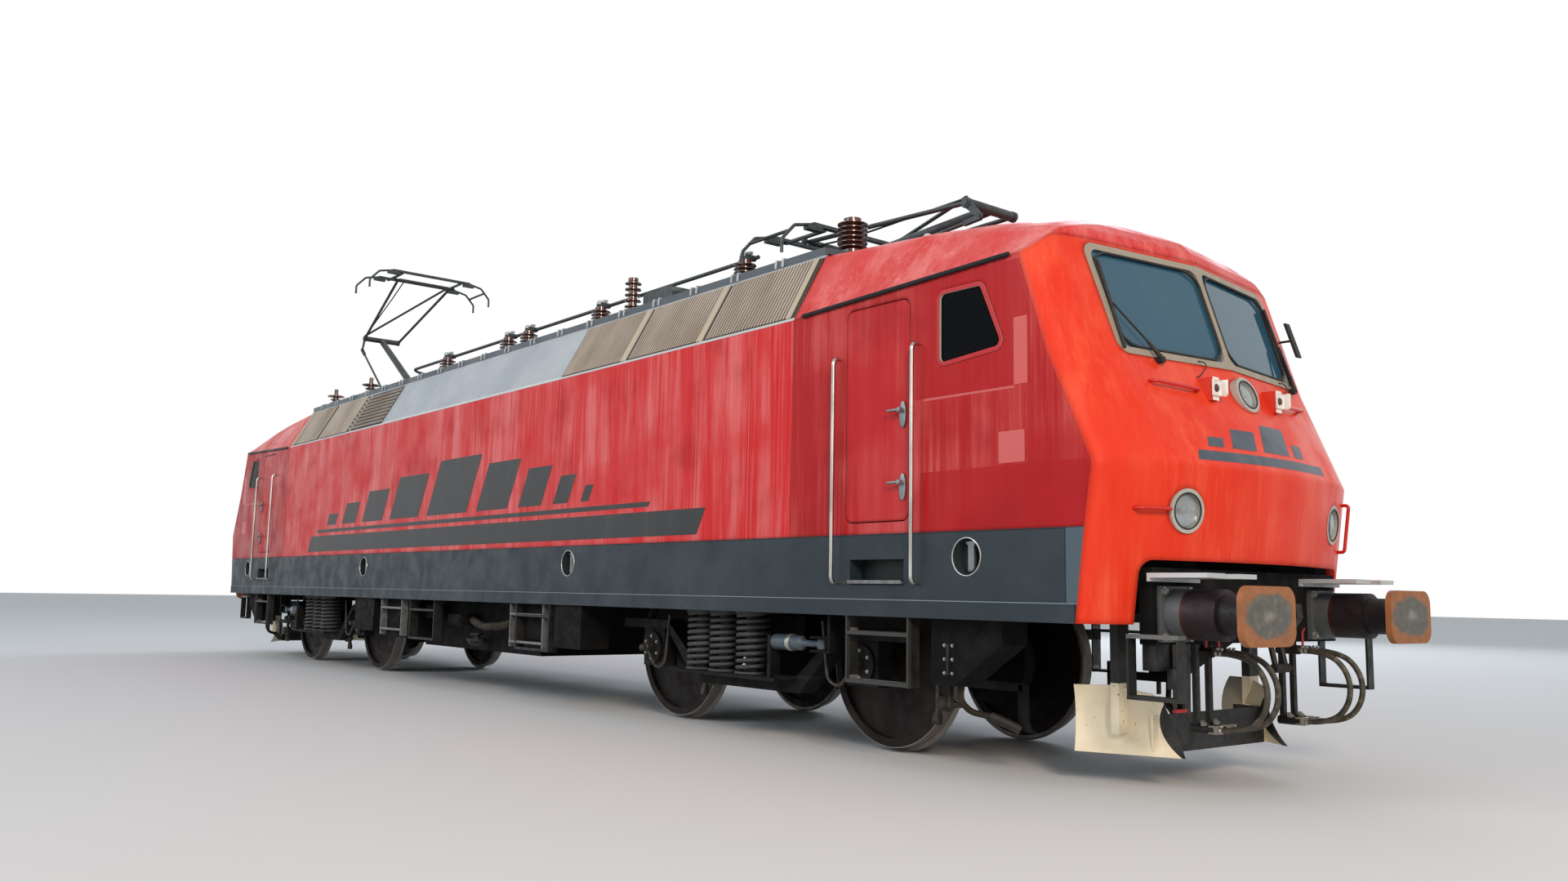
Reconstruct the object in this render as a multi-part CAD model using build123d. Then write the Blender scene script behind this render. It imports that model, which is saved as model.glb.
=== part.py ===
"""Four-axle electric locomotive with two cabs, two bogies and two half-scissor pantographs.

Millimetres. +X points to cab 1, +Z up, +Y to the left side of a driver in cab 1.
The origin lies under the middle of the locomotive, level with the lowest points of the wheel flanges.
Heights named *_height are counted from the rail top, which is one flange depth above the origin.
"""
from build123d import *
import math
import os

# Gap between pieces that sit on each other
seat_gap = 0.3

# Wheels and track
flange_depth = 30
wheel_diameter = 1250
wheel_back_to_back = 1360
wheel_width = 135
flange_width = 32
axle_diameter = 200
wheel_web_thickness = 45
brake_disc_diameter = 700

# Main dimensions of the vehicle
length_over_buffers = 19200
body_width = 2950
bogie_spacing = 10200
bogie_wheelbase = 2800
half_width = body_width / 2
half_length = length_over_buffers / 2

# Heights above the rail top
sill_bottom_height = 986
sill_step_height = 1103
floor_height = 1555
crease_height = 1940
screen_bottom_height = 2660
screen_top_height = 3400
eaves_height = 3231
shoulder_height = 3806
deck_edge_height = 3880
deck_crown_height = 3925
buffer_height = 1050
port_height = 1387

# Carbody, seen in plan; x of the cab's parts is counted back from the buffer faces
machine_room_end = half_length - 3520
cab_bulkhead_x = half_length - 3120
sill_end_bottom_x = half_length - 883
sill_end_top_x = half_length - 812
corner_depth = 234
corner_width = 415
corner_shares = (0.055, 0.1, 0.157, 0.24, 0.39, 0.68)
shoulder_half_width = 1159
shell_thickness = 50
sill_web = 25
sill_flange_width = 150
sill_lip = 10
bulkhead_thickness = 50
floor_thickness = 30

# Front surface of a cab: height, then how far behind the buffer faces its flat begins and its nose lies
front_setbacks = [
    (sill_bottom_height, 649, 484),
    (crease_height, 520, 355),
    (screen_bottom_height - 15, 845, 710),
    (screen_top_height + 60, 1116, 975),
    (screen_top_height + 125, 1140, 1000),
    (screen_top_height + 200, 1208, 1068),
    (4000, 1800, 1660),
]
# The corners beside the flat front: height, then how far forward their curve runs along the side wall
corner_leads = [(sill_bottom_height, 80), (crease_height, 80), (screen_bottom_height, 140), (4000, 165)]
front_rows = [(height, half_length - flat, half_length - nose) for height, flat, nose in front_setbacks]
# Cab roof: distance behind the buffer faces, height of the eaves, of the shoulder edge and of the crown
cab_roof_setbacks = [
    (3520, 3231, 3806, 3905),
    (2417, 3265, 3752, 3860),
    (1793, 3286, 3690, 3805),
    (1294, 3304, 3592, 3713),
    (900, 3318, 3440, 3520),
    (200, 3330, 3360, 3400),
]
cab_roof_rows = [(half_length - back, *heights) for back, *heights in cab_roof_setbacks]
# Share of the shoulder edge that is rounded off, at the rear end of a cab roof and at its front end
shoulder_rounding = (0.03, 0.45)
shoulder_shares = (0.25, 0.5, 0.75)
roof_joint_x = half_length - 1170
roof_joint_height = 3445
cab_shoulder_half_width = 1150

# Doors, windows and recesses
door_rear_x = half_length - 2900
door_front_x = half_length - 2250
door_bottom_height = 1635
door_top_height = 3190
door_corner_radius = 70
door_gap = 8
door_thickness = 45
door_hinge_offset_x = 14
door_hinge_offset_y = 14
door_hinge_heights = (1850, 2400, 2950)
door_pin_diameter = 16
door_handle_heights = (1900, 2400)
side_window_rear_x = half_length - 1997
side_window_outline = [(side_window_rear_x, 2655), (half_length - 1392, 2706), (half_length - 1589, 3180),
                       (side_window_rear_x, 3180)]
side_window_radius = 70
side_window_frame = 28
glass_thickness = 12
glass_inset = 14
screen_cut_rear_x = half_length - 1300
screen_half_bottom = 1040
screen_half_top = 1083
screen_radius = 90
screen_frame_width = 45
screen_post_width = 60
screen_frame_proud = 6
front_opening_half_width = 1170
front_opening_top_height = 1368
front_opening_radius = 90
port_radius = 125
port_xs = (2700, half_length - 1734)
recess_rear_x = half_length - 2843
recess_front_x = half_length - 2303
recess_bottom_height = 1205
recess_top_height = 1378
recess_depth = 140

# Steps and rails
rail_rear_x = half_length - 2967
rail_front_x = half_length - 2164
rail_bottom_height = 1215
rail_top_height = 2845
rail_diameter = 30
rail_standoff = 70
nose_bar_diameter = 24
nose_bar_standoff = 52
# Nose grab bars: y and height of one end, y and height of the other
nose_bar_ends = [
    (-897, 2480, -497, 2462),
    (497, 2462, 897, 2480),
    (-1240, 1667, -1030, 1667),
    (1190, 1490, 1190, 1820),
]
ladder_rear_x = half_length - 2887
ladder_front_x = half_length - 2263
ladder_bottom_height = 517
ladder_depth = 110
ladder_plate = 14
tread_heights = (545, 880)
tread_thickness = 25

# Buffers, coupling and front equipment
buffer_half_spacing = 875
buffer_plate_width = 560
buffer_plate_height = 340
buffer_plate_thickness = 40
buffer_plate_radius = 90
buffer_barrel_diameter = 300
buffer_plunger_diameter = 235
headstock_x = half_length - 620
headstock_thickness = 90
headstock_half_width = 1090
headstock_bottom_height = 870
headstock_top_height = 1325
buffer_flange_size = 330
arm_inner_y = 480
arm_outer_y = 620
arm_rear_x = half_length - 1600
buffer_flange_thickness = 30
buffer_barrel_length = 330
front_tread_x = half_length - 226
front_tread_height = 1262
front_tread_thickness = 28
stirrup_rear_x = half_length - 750
stirrup_front_x = half_length - 400
stirrup_bottom_height = 550
stirrup_top_height = 930
stirrup_depth = 80
stirrup_bar = 14
hose_diameter = 36
hose_half_spacings = (440, 580)
hose_top_height = 820
hose_bulge = 230
cock_x = headstock_x + 80
cock_diameter = 56

# Bogies
axle_radius_clearance = 0.6
frame_half_gap = 960
frame_beam_width = 170
frame_top_height = 880
frame_bottom_height = 640
spring_seat_height = 480
spring_seat_width = 330
spring_diameter = 290
spring_xs = (-500, -175, 190)
spring_y = half_width - 285
spring_coils = 7
spring_seat_half_length = 670
spring_housing_half_width = 135
damper_height = 760
damper_y = half_width - 185
damper_diameter = 120
damper_inner_offset = 600
damper_eye_offset = 1165
damper_eye_height = 72
damper_eye_diameter = 84
damper_rod_diameter = 54
damper_body_length = 330
fork_reach = 125
fork_lip = 72
fork_plate = 16
moving_clearance = 6
swivel_pin_diameter = 220
bolster_half_length = 300
motor_length = 640
motor_half_width = 300
motor_bottom_height = 330
motor_top_height = 930
transom_half_length = 210
axle_box_size = 330
axle_box_depth = 175
axle_cover_diameter = 290
journal_end_y = 1105
journal_end_clearance = 15

# Roof equipment
insulator_line_y = -800
insulator_xs = (-1923, -165, 357, 2003, 4551)
insulator_height = 250
insulator_shed_diameter = 210
insulator_sheds = 5
arrester_x = 2744
arrester_y = -865
arrester_diameter = 170
arrester_height = 420
lead_insulator_x = 6004
lead_insulator_diameter = 250
lead_insulator_height = 300
bar_diameter = 38
bar_y = -740
bar_bow_x = -3300
bar_bow_y = -250
switch_rear_x = 3180
switch_front_x = 3640
switch_outer_y = -980
switch_inner_y = -560
switch_height = 165
switch_fin = 14
switch_fin_count = 9
pantograph_base_x = 4909
pantograph_pivot_height = 4150
lower_arm_length = 1880
upper_arm_length = 1790
raised_lower_angle = 33.3
raised_upper_angle = 21.3
folded_lower_angle = 3.5
knee_half_width = 256
knee_diameter = 56
pivot_diameter = 66
head_pin_diameter = 36
pin_clearance = 1.2
lower_arm_foot_diameter = 108
lower_arm_knee_diameter = 92
upper_tube_diameter = 40
diagonal_rise = 44
levelling_rod_diameter = 18
cheek_inner_y = 160
control_lever_length = 200
control_lever_angle = -65
control_lever_thickness = 16
lever_end_diameter = 52
rod_base_x = 360
rod_base_drop = 170
rod_length = 1650
rod_rest_angle = 38.2
rod_angle_ratio = 1.13
rod_diameter = 32
rod_eye_diameter = 58
rod_pin_diameter = 28
rod_fork_depth = 125
fork_side_gap = 3
fork_cheek_thickness = 8
base_insulator_diameter = 170
upper_top_half_width = 420
head_strip_spacing = 560
head_flat_half_width = 620
head_half_width = 975
head_horn_drop = 330

# Values worked out from the ones above
rail_top = flange_depth
wheel_radius = wheel_diameter / 2
axle_z = rail_top + wheel_radius
sill_bottom = rail_top + sill_bottom_height
arm_bottom = sill_bottom + 60
swivel_pin_foot = rail_top + 700
sill_step = rail_top + sill_step_height
floor_z = rail_top + floor_height
eaves_z = rail_top + eaves_height
shoulder_z = rail_top + shoulder_height
deck_edge_z = rail_top + deck_edge_height
deck_crown_z = rail_top + deck_crown_height
ends = (1, -1)
sides = (1, -1)


def box(x0, x1, y0, y1, z0, z1):
    return Pos((x0 + x1) / 2, (y0 + y1) / 2, (z0 + z1) / 2) * Box(abs(x1 - x0), abs(y1 - y0), abs(z1 - z0))


def prism(face, direction, length):
    return extrude(face, amount=length, dir=direction)


def prism_x(points, x0, x1):
    """Extrude an outline of (y, z) points from x0 to x1."""
    return prism(make_face(Polyline([(x0, y, z) for y, z in points], close=True)), (1, 0, 0), x1 - x0)


def prism_y(points, y0, y1):
    """Extrude an outline of (x, z) points from y0 to y1."""
    return prism(make_face(Polyline([(x, y0, z) for x, z in points], close=True)), (0, 1, 0), y1 - y0)


def rounded_prism_y(points, radius, y0, y1):
    """The same as prism_y, with the corners of the outline rounded."""
    wire = FilletPolyline([(x, y0, z) for x, z in points], radius=radius, close=True)
    return prism(make_face(wire), (0, 1, 0), y1 - y0)


def rounded_prism_x(points, radius, x0, x1):
    wire = FilletPolyline([(x0, y, z) for y, z in points], radius=radius, close=True)
    return prism(make_face(wire), (1, 0, 0), x1 - x0)


def rod(start, end, diameter):
    """Round bar between two points."""
    start = Vector(start)
    end = Vector(end)
    plane = Plane(origin=start, z_dir=(end - start).normalized())
    return extrude(plane * Circle(diameter / 2), amount=(end - start).length)


def tapered_rod(start, end, start_diameter, end_diameter):
    """Round bar between two points whose diameter changes along it."""
    start = Vector(start)
    end = Vector(end)
    span = end - start
    return Solid.make_cone(start_diameter / 2, end_diameter / 2, span.length, Plane(origin=start, z_dir=span))


def bent_rod(points, diameter, radius):
    """Round bar along straight runs with bends of one radius."""
    path = FilletPolyline([Vector(p) for p in points], radius=radius)
    plane = Plane(origin=points[0], z_dir=(Vector(points[1]) - Vector(points[0])).normalized())
    return sweep(plane * Circle(diameter / 2), path=path)


def turned(profile, origin, axis):
    """Revolve an outline of (radius, distance along the axis) points about an axis through origin."""
    plane = Plane(origin=origin, x_dir=Plane(origin, z_dir=axis).x_dir, z_dir=axis)
    outline = make_face(Polyline([plane.from_local_coords((r, 0, d)) for r, d in profile], close=True))
    return revolve(outline, axis=Axis(origin, axis))


def flip_x(shape):
    return mirror(shape, about=Plane.YZ)


def for_ends(shapes):
    return list(shapes) + [flip_x(shape) for shape in shapes]


def for_turned_ends(shapes):
    """The shapes of cab 1 and the same ones turned half round for cab 2."""
    return list(shapes) + [Rot(0, 0, 180) * shape for shape in shapes]


def save(node, shapes):
    """Write the solids of one node to its STEP file."""
    solids = [solid for shape in shapes for solid in shape.solids()]
    export_step(Compound(label=node, children=solids), os.path.join("parts", node + ".step"))


# Cab surfaces
def front_x_at(height, y):
    """x of the cab's front surface at a height and a distance from the middle."""
    flat_y = half_width - corner_width
    for lower, upper in zip(front_rows, front_rows[1:]):
        if lower[0] <= height <= upper[0]:
            share = (height - lower[0]) / (upper[0] - lower[0])
            flat_x = lower[1] + share * (upper[1] - lower[1])
            nose_x = lower[2] + share * (upper[2] - lower[2])
            return nose_x - (nose_x - flat_x) * abs(y) / flat_y
    return front_rows[-1][1]


def between(rows, place):
    """Value at a place, on the straight lines between (place, value) rows."""
    for (low, low_value), (high, high_value) in zip(rows, rows[1:]):
        if place <= high:
            return low_value + (high_value - low_value) * (place - low) / (high - low)
    return rows[-1][1]


def curve(start, pull, stop, shares):
    """Points of the curve from start to stop that leaves and arrives in the direction of pull."""
    points = [start]
    for share in shares:
        points.append(tuple((1 - share) ** 2 * a + 2 * share * (1 - share) * b + share ** 2 * c
                            for a, b, c in zip(start, pull, stop)))
    return points + [stop]


def corner_points(height, side_x, side_y, flat_x, flat_y):
    """Points of the rounded corner between the side wall and the front, from the side inwards."""
    lead = between(corner_leads, height)
    return curve((side_x, side_y), (side_x + lead, side_y), (flat_x, flat_y), corner_shares)


def front_surface_x(height, y):
    """x of the cab's front surface, also on the rounded corners beside the flat front."""
    flat_y = half_width - corner_width
    if abs(y) <= flat_y:
        return front_x_at(height, y)
    flat_x = front_x_at(height, flat_y)
    points = corner_points(height, flat_x - corner_depth, half_width, flat_x, flat_y)
    for (outer_x, outer_y), (inner_x, inner_y) in zip(points, points[1:]):
        if inner_y <= abs(y) <= outer_y:
            return outer_x + (inner_x - outer_x) * (outer_y - abs(y)) / (outer_y - inner_y)
    return points[0][0]


def front_section(row, inset):
    """Closed plan outline of the cab at one height, moved inwards by inset."""
    height, flat_x, nose_x = row
    z = rail_top + height
    side_y = half_width - inset
    flat_y = half_width - corner_width - inset * 0.5
    side_x = flat_x - corner_depth - inset
    flat_x = flat_x - inset
    nose_x = nose_x - inset
    back_x = machine_room_end - 100
    corners = [(back_x, side_y, z)]
    corners += [(x, y, z) for x, y in corner_points(height, side_x, side_y, flat_x, flat_y)]
    left = Polyline(corners)
    right = Polyline([(x, -y, z) for x, y, z in reversed(corners)])
    if height <= crease_height:
        rise = nose_x - flat_x
        radius = (rise ** 2 + flat_y ** 2) / (2 * rise)
        half_angle = math.asin(flat_y / radius) / 2
        mid_x = nose_x - radius + radius * math.cos(half_angle)
        mid_y = radius * math.sin(half_angle)
        front = [ThreePointArc((flat_x, flat_y, z), (mid_x, mid_y, z), (nose_x, 0, z)),
                 ThreePointArc((nose_x, 0, z), (mid_x, -mid_y, z), (flat_x, -flat_y, z))]
    else:
        front = [Line((flat_x, flat_y, z), (nose_x, 0, z)), Line((nose_x, 0, z), (flat_x, -flat_y, z))]
    front_edges = [edge for line in front for edge in line.edges()]
    back = Line((back_x, -side_y, z), (back_x, side_y, z))
    return make_face(Wire([*left.edges(), *front_edges, *right.edges(), *back.edges()]))


def roof_section(row, inset):
    """Closed outline across the cab at one station, moved inwards by inset."""
    x, eaves, shoulder, crown = row
    eaves = rail_top + eaves - inset
    shoulder = rail_top + shoulder - inset
    crown = rail_top + crown - inset
    shoulder_y = cab_shoulder_half_width - inset * 0.5
    slope = (shoulder - eaves) / (half_width - shoulder_y)
    spare = 60
    outer_y = half_width + spare
    outer_z = eaves - slope * spare
    base_z = 800
    share = (x - cab_roof_rows[0][0]) / (cab_roof_rows[-1][0] - cab_roof_rows[0][0])
    rounding = shoulder_rounding[0] + (shoulder_rounding[1] - shoulder_rounding[0]) * share
    slope_y = shoulder_y + (half_width - shoulder_y) * rounding
    slope_z = shoulder - (shoulder - eaves) * rounding
    top_y = shoulder_y * (1 - rounding)
    top_z = shoulder + (crown - shoulder) * (1 - (1 - rounding) ** 2)
    bend = curve((slope_y, slope_z), (shoulder_y, shoulder), (top_y, top_z), shoulder_shares)
    right = [(outer_y, base_z), (outer_y, outer_z), *bend]
    outline = [(x, y, z) for y, z in right]
    lines = Polyline([*[(x, -y, z) for y, z in reversed(right)], *outline])
    arc = ThreePointArc((x, top_y, top_z), (x, 0, crown), (x, -top_y, top_z))
    return make_face(Wire([*lines.edges(), *arc.edges()]))


def cab_form(inset):
    """The cab as one solid, its surface moved inwards by inset."""
    plan = loft([front_section(row, inset) for row in front_rows], ruled=True)
    roof = loft([roof_section(row, inset) for row in cab_roof_rows], ruled=True)
    return plan & roof


cab_outer = cab_form(0)
cab_inner = cab_form(shell_thickness)
cab_shell = cab_outer - cab_inner

eaves_front_height = 3304
eaves_front_x = front_x_at(eaves_front_height, half_width - corner_width) - corner_depth
eaves_front_z = rail_top + eaves_front_height
far = half_width + 200
far_front_x = half_length - 100
far_top_z = rail_top + 4170
roof_joint_z = rail_top + roof_joint_height
corner_edge = [(front_rows[row][1] - corner_depth, rail_top + front_rows[row][0]) for row in (1, 2)]
front_zone = prism_y([(sill_end_bottom_x, sill_bottom), (sill_end_top_x, floor_z), *corner_edge,
                      (eaves_front_x, eaves_front_z), (roof_joint_x, roof_joint_z),
                      (far_front_x, roof_joint_z), (far_front_x, sill_bottom)], -far, far)
side_zone = prism_y([(machine_room_end, floor_z), (sill_end_top_x, floor_z), *corner_edge,
                     (eaves_front_x, eaves_front_z), (machine_room_end, eaves_z)], -far, far)
roof_zone = prism_y([(machine_room_end, eaves_z), (eaves_front_x, eaves_front_z),
                     (roof_joint_x, roof_joint_z), (far_front_x, roof_joint_z), (far_front_x, far_top_z),
                     (machine_room_end, far_top_z)], -far, far)


def screen_outline(margin):
    """Outline across the front of both windscreens, moved inwards by margin."""
    low = rail_top + screen_bottom_height + margin
    high = rail_top + screen_top_height + 20 - margin
    return [(-screen_half_bottom + margin, low), (screen_half_bottom - margin, low),
            (screen_half_top - margin, high), (-screen_half_top + margin, high)]


def build_cab_fronts():
    opening = rounded_prism_x(
        [(-front_opening_half_width, sill_bottom - 300), (front_opening_half_width, sill_bottom - 300),
         (front_opening_half_width, rail_top + front_opening_top_height),
         (-front_opening_half_width, rail_top + front_opening_top_height)],
        front_opening_radius, far_front_x - 1000, far_front_x)
    screens = rounded_prism_x(screen_outline(0), screen_radius, screen_cut_rear_x, far_front_x)
    front = (cab_shell & front_zone) - opening - screens
    for bore in lamp_bores():
        front -= bore
    save("cab_fronts", for_ends([front]))


def build_window_frames_and_glass():
    outline = rounded_prism_x(screen_outline(seat_gap), screen_radius, screen_cut_rear_x, far_front_x)
    holes = []
    for side in sides:
        inner = screen_outline(screen_frame_width)
        half = rounded_prism_x(
            [(side * screen_post_width / 2, inner[0][1]), (side * inner[1][0], inner[0][1]),
             (side * inner[2][0], inner[2][1]), (side * screen_post_width / 2, inner[2][1])],
            screen_radius - screen_frame_width / 2, screen_cut_rear_x, far_front_x)
        holes.append(half)
    band = cab_form(-screen_frame_proud) - cab_form(shell_thickness * 0.7)
    frame = band & outline
    glass_layer = cab_form(glass_inset) - cab_form(glass_inset + glass_thickness)
    panes = []
    for hole in holes:
        frame = frame - hole
        panes.append(glass_layer & hole)
    window_y = half_width - glass_inset
    frames = [frame]
    for side in sides:
        outer = rounded_prism_y([(x, rail_top + z) for x, z in side_window_outline], side_window_radius,
                                side * (half_width + 4), side * (half_width - shell_thickness))
        hole = side_window_hole(side, half_width + 100, half_width - 200)
        frames.append(outer - hole)
        panes.append(side_window_hole(side, window_y, window_y - glass_thickness))
    save("window_frames", for_ends(frames))
    save("cab_glass", for_ends(panes))


def side_window_hole(side, y_from, y_to):
    margin = side_window_frame
    (x0, z0), (x1, z1), (x2, z2), (x3, z3) = side_window_outline
    inner = [(x0 + margin, z0 + margin), (x1 - margin * 1.3, z1 + margin * 0.9),
             (x2 - margin * 0.8, z2 - margin), (x3 + margin, z3 - margin)]
    return rounded_prism_y([(x, rail_top + z) for x, z in inner], side_window_radius - margin,
                           side * y_from, side * y_to)


def door_outline(gap):
    """Door outline as (x, z), moved inwards by gap, with its upper corners rounded."""
    x0 = door_rear_x + gap
    x1 = door_front_x - gap
    z0 = rail_top + door_bottom_height + gap
    z1 = rail_top + door_top_height - gap
    return [(x0, z0), (x1, z0), (x1, z1), (x0, z1)]


def door_hinge_axis(side):
    """Plan position of a door's hinge pin, just inside the wall at the door's rear edge."""
    return door_rear_x + door_hinge_offset_x, side * (half_width - door_thickness - door_hinge_offset_y)


def hinge_brackets(side):
    """Brackets and pins on the wall that the door's barrels turn on."""
    x, y = door_hinge_axis(side)
    wall_y = side * (half_width - shell_thickness)
    pieces = None
    for height in door_hinge_heights:
        z = rail_top + height
        bracket = box(x - 75, door_rear_x - 3, wall_y, wall_y - side * 28, z - 70, z + 70)
        for low in (z - 60, z + 35 + seat_gap):
            bracket += box(door_rear_x - 10, x + 12, wall_y - side * 3, wall_y - side * 28, low,
                           low + 25 - seat_gap)
        bracket += rod((x, y, z - 60), (x, y, z + 60), door_pin_diameter)
        pieces = bracket if pieces is None else pieces + bracket
    return pieces


def door_barrels(side):
    """Lugs with bores on the inner face of the door leaf."""
    x, y = door_hinge_axis(side)
    leaf_y = side * (half_width - door_thickness)
    pieces = None
    for height in door_hinge_heights:
        z = rail_top + height
        barrel = rod((x, y, z - 35), (x, y, z + 35), door_pin_diameter + 12)
        barrel += box(x, x + 60, leaf_y, leaf_y - side * 16, z - 35, z + 35)
        barrel -= rod((x, y, z - 80), (x, y, z + 80), door_pin_diameter + pin_clearance)
        pieces = barrel if pieces is None else pieces + barrel
    return pieces


def build_cab_sides():
    pieces = []
    for side in sides:
        band = box(machine_room_end, far_front_x, side * (half_width + 50),
                   side * (half_width - shell_thickness - 1), floor_z, far_top_z)
        wall = cab_shell & side_zone & band
        wall -= rounded_prism_y(door_outline(0), door_corner_radius, side * far, side * 1000)
        wall -= rounded_prism_y([(x, rail_top + z) for x, z in side_window_outline], side_window_radius,
                                side * far, side * 1000)
        pieces.append(wall + hinge_brackets(side) + gutter(side))
    save("cab_sides", for_ends(pieces))


def build_cab_roofs():
    save("cab_roofs", for_ends([cab_shell & roof_zone]))


def build_bulkheads():
    cavity = cab_form(shell_thickness + 0.3)
    slab = box(cab_bulkhead_x, cab_bulkhead_x + bulkhead_thickness, -far, far, floor_z, far_top_z)
    save("cab_bulkheads", for_ends([cavity & slab]))


def build_floor():
    floor = box(-sill_end_bottom_x, sill_end_bottom_x, -(half_width - sill_web), half_width - sill_web,
                floor_z - floor_thickness, floor_z)
    save("floor_plate", [floor])


def build_solebars():
    bars = []
    for side in sides:
        outer = side * half_width
        inner = side * (half_width - sill_web)
        web = prism_y([(-sill_end_bottom_x, sill_bottom), (sill_end_bottom_x, sill_bottom),
                       (sill_end_top_x, floor_z), (-sill_end_top_x, floor_z)], inner, outer)
        lip = box(-sill_end_bottom_x, sill_end_bottom_x, outer, outer + side * sill_lip, sill_bottom,
                  sill_step)
        flange = box(-sill_end_bottom_x, sill_end_bottom_x, inner, side * (half_width - sill_flange_width),
                     sill_bottom, sill_bottom + sill_web)
        bar = web + lip + flange
        for end in ends:
            for x in port_xs:
                start = (end * x, side * (half_width + 50), rail_top + port_height)
                stop = (end * x, side * (half_width - sill_web - 5), rail_top + port_height)
                bar -= rod(start, stop, 2 * port_radius)
            bar -= box(end * recess_rear_x, end * recess_front_x, outer + side * 20, inner - side * 5,
                       rail_top + recess_bottom_height, rail_top + recess_top_height)
            pocket = box(end * (recess_rear_x - 20), end * (recess_front_x + 20), inner,
                         side * (half_width - recess_depth), rail_top + recess_bottom_height - 20,
                         rail_top + recess_top_height + 20)
            pocket -= box(end * recess_rear_x, end * recess_front_x, inner + side * 5,
                          side * (half_width - recess_depth + 20), rail_top + recess_bottom_height,
                          rail_top + recess_top_height)
            bar += pocket
        bars.append(bar)
    save("solebars", bars)


def build_cross_beams():
    """Bolsters with their pivot pins, and the headstocks that carry buffers and coupling."""
    span = half_width - sill_flange_width
    beams = []
    for end in ends:
        bolster_x = bogie_spacing / 2
        beam_top = floor_z - floor_thickness
        bolster_bottom = sill_bottom + 150
        bolster = box(end * (bolster_x - bolster_half_length), end * (bolster_x + bolster_half_length),
                      -span, span, bolster_bottom, beam_top)
        pin = rod((end * bolster_x, 0, swivel_pin_foot), (end * bolster_x, 0, bolster_bottom + 10),
                  swivel_pin_diameter)
        carrier = bolster + pin
        for side in sides:
            inner = side * (spring_y - spring_housing_half_width)
            outer = side * (spring_y + spring_housing_half_width)
            carrier += box(end * (bolster_x - spring_seat_half_length),
                           end * (bolster_x + spring_seat_half_length), inner, outer, sill_bottom, beam_top)
        beams.append(carrier)
        face = box(end * (headstock_x - headstock_thickness), end * headstock_x, -headstock_half_width,
                   headstock_half_width, rail_top + headstock_bottom_height, rail_top + headstock_top_height)
        arms = []
        for side in sides:
            arms.append(box(end * arm_rear_x, end * (headstock_x - headstock_thickness), side * arm_inner_y,
                            side * arm_outer_y, arm_bottom, beam_top))
        beams.append(face + arms[0] + arms[1])
    save("cross_beams", beams)


def build_side_walls():
    walls = []
    for side in sides:
        walls.append(box(-machine_room_end, machine_room_end, side * half_width,
                         side * (half_width - shell_thickness), floor_z, eaves_z))
    save("side_walls", walls)


# Machine-room roof
def roof_profile(inset):
    """Outline across the machine-room roof, from eaves to eaves."""
    slope_y = half_width - shoulder_half_width
    slope_z = shoulder_z - eaves_z
    slant = math.hypot(slope_y, slope_z)
    eaves_y = half_width - inset * slant / slope_z
    deck_y = shoulder_half_width - inset * 0.7
    half = [(eaves_y, eaves_z), (deck_y, shoulder_z), (deck_y, deck_edge_z - inset)]
    return half + [(0, deck_crown_z - inset)] + [(-y, z) for y, z in reversed(half)]


panel_pitch = 1230
panel_xs = (machine_room_end - 3 * panel_pitch + 10, machine_room_end - 2 * panel_pitch + 10,
            machine_room_end - panel_pitch + 10, machine_room_end)
panel_clearance = 3
grille_thickness = 26
rib_pitch = 41
rib_height = 14
louvre_count = 9
louvre_depth = 30


def slant_plane(x, side):
    """Plane on the slanted roof side: its x runs along the vehicle, its y up the slope, its z outwards."""
    up = Vector(0, side * (shoulder_half_width - half_width), shoulder_z - eaves_z).normalized()
    along = Vector(1, 0, 0)
    normal = along.cross(up)
    if normal.Y * side < 0:
        along = Vector(-1, 0, 0)
        normal = along.cross(up)
    return Plane(origin=(x, side * half_width, eaves_z), x_dir=along, z_dir=normal)


slant_length = math.hypot(half_width - shoulder_half_width, shoulder_z - eaves_z)


def grille_panel(x0, x1, side):
    """Ribbed ventilation panel: a backing sheet with straight ribs that run up the slope."""
    width = x1 - x0
    count = int((width - 60) / rib_pitch)
    margin = (width - count * rib_pitch) / 2
    points = [(panel_clearance, -grille_thickness), (panel_clearance, 0)]
    for index in range(count):
        left = margin + index * rib_pitch
        points += [(left, 0), (left + 8, rib_height), (left + rib_pitch * 0.55, rib_height),
                   (left + rib_pitch * 0.55 + 8, 0)]
    points += [(width - panel_clearance, 0), (width - panel_clearance, -grille_thickness)]
    plane = slant_plane(x0 if side < 0 else x1, side)
    base = Plane(origin=plane.from_local_coords((0, 30, 0)), x_dir=plane.x_dir, z_dir=plane.y_dir)
    sketch = make_face(Polyline([base.from_local_coords((u, -v, 0)) for u, v in points], close=True))
    return extrude(sketch, amount=slant_length - 50, dir=plane.y_dir)


def louvre_panel(x0, x1, side):
    """Panel of hooded louvres: sloping blades along the vehicle between upright bars."""
    plane = slant_plane(x0 if side < 0 else x1, side)
    width = x1 - x0
    pitch = (slant_length - 90) / louvre_count
    points = [(30, -grille_thickness)]
    for index in range(louvre_count):
        low = 45 + index * pitch
        points += [(low, 0), (low + pitch * 0.35, louvre_depth), (low + pitch * 0.95, 0)]
    points += [(slant_length - 20, 0), (slant_length - 20, -grille_thickness)]
    start = plane.from_local_coords((panel_clearance, 0, 0))
    base = Plane(origin=start, x_dir=plane.y_dir, z_dir=plane.x_dir)
    sketch = make_face(Polyline([base.from_local_coords((u, -v if base.y_dir.dot(plane.z_dir) < 0 else v, 0))
                                 for u, v in points], close=True))
    panel = extrude(sketch, amount=width - 2 * panel_clearance, dir=plane.x_dir)
    return panel


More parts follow.
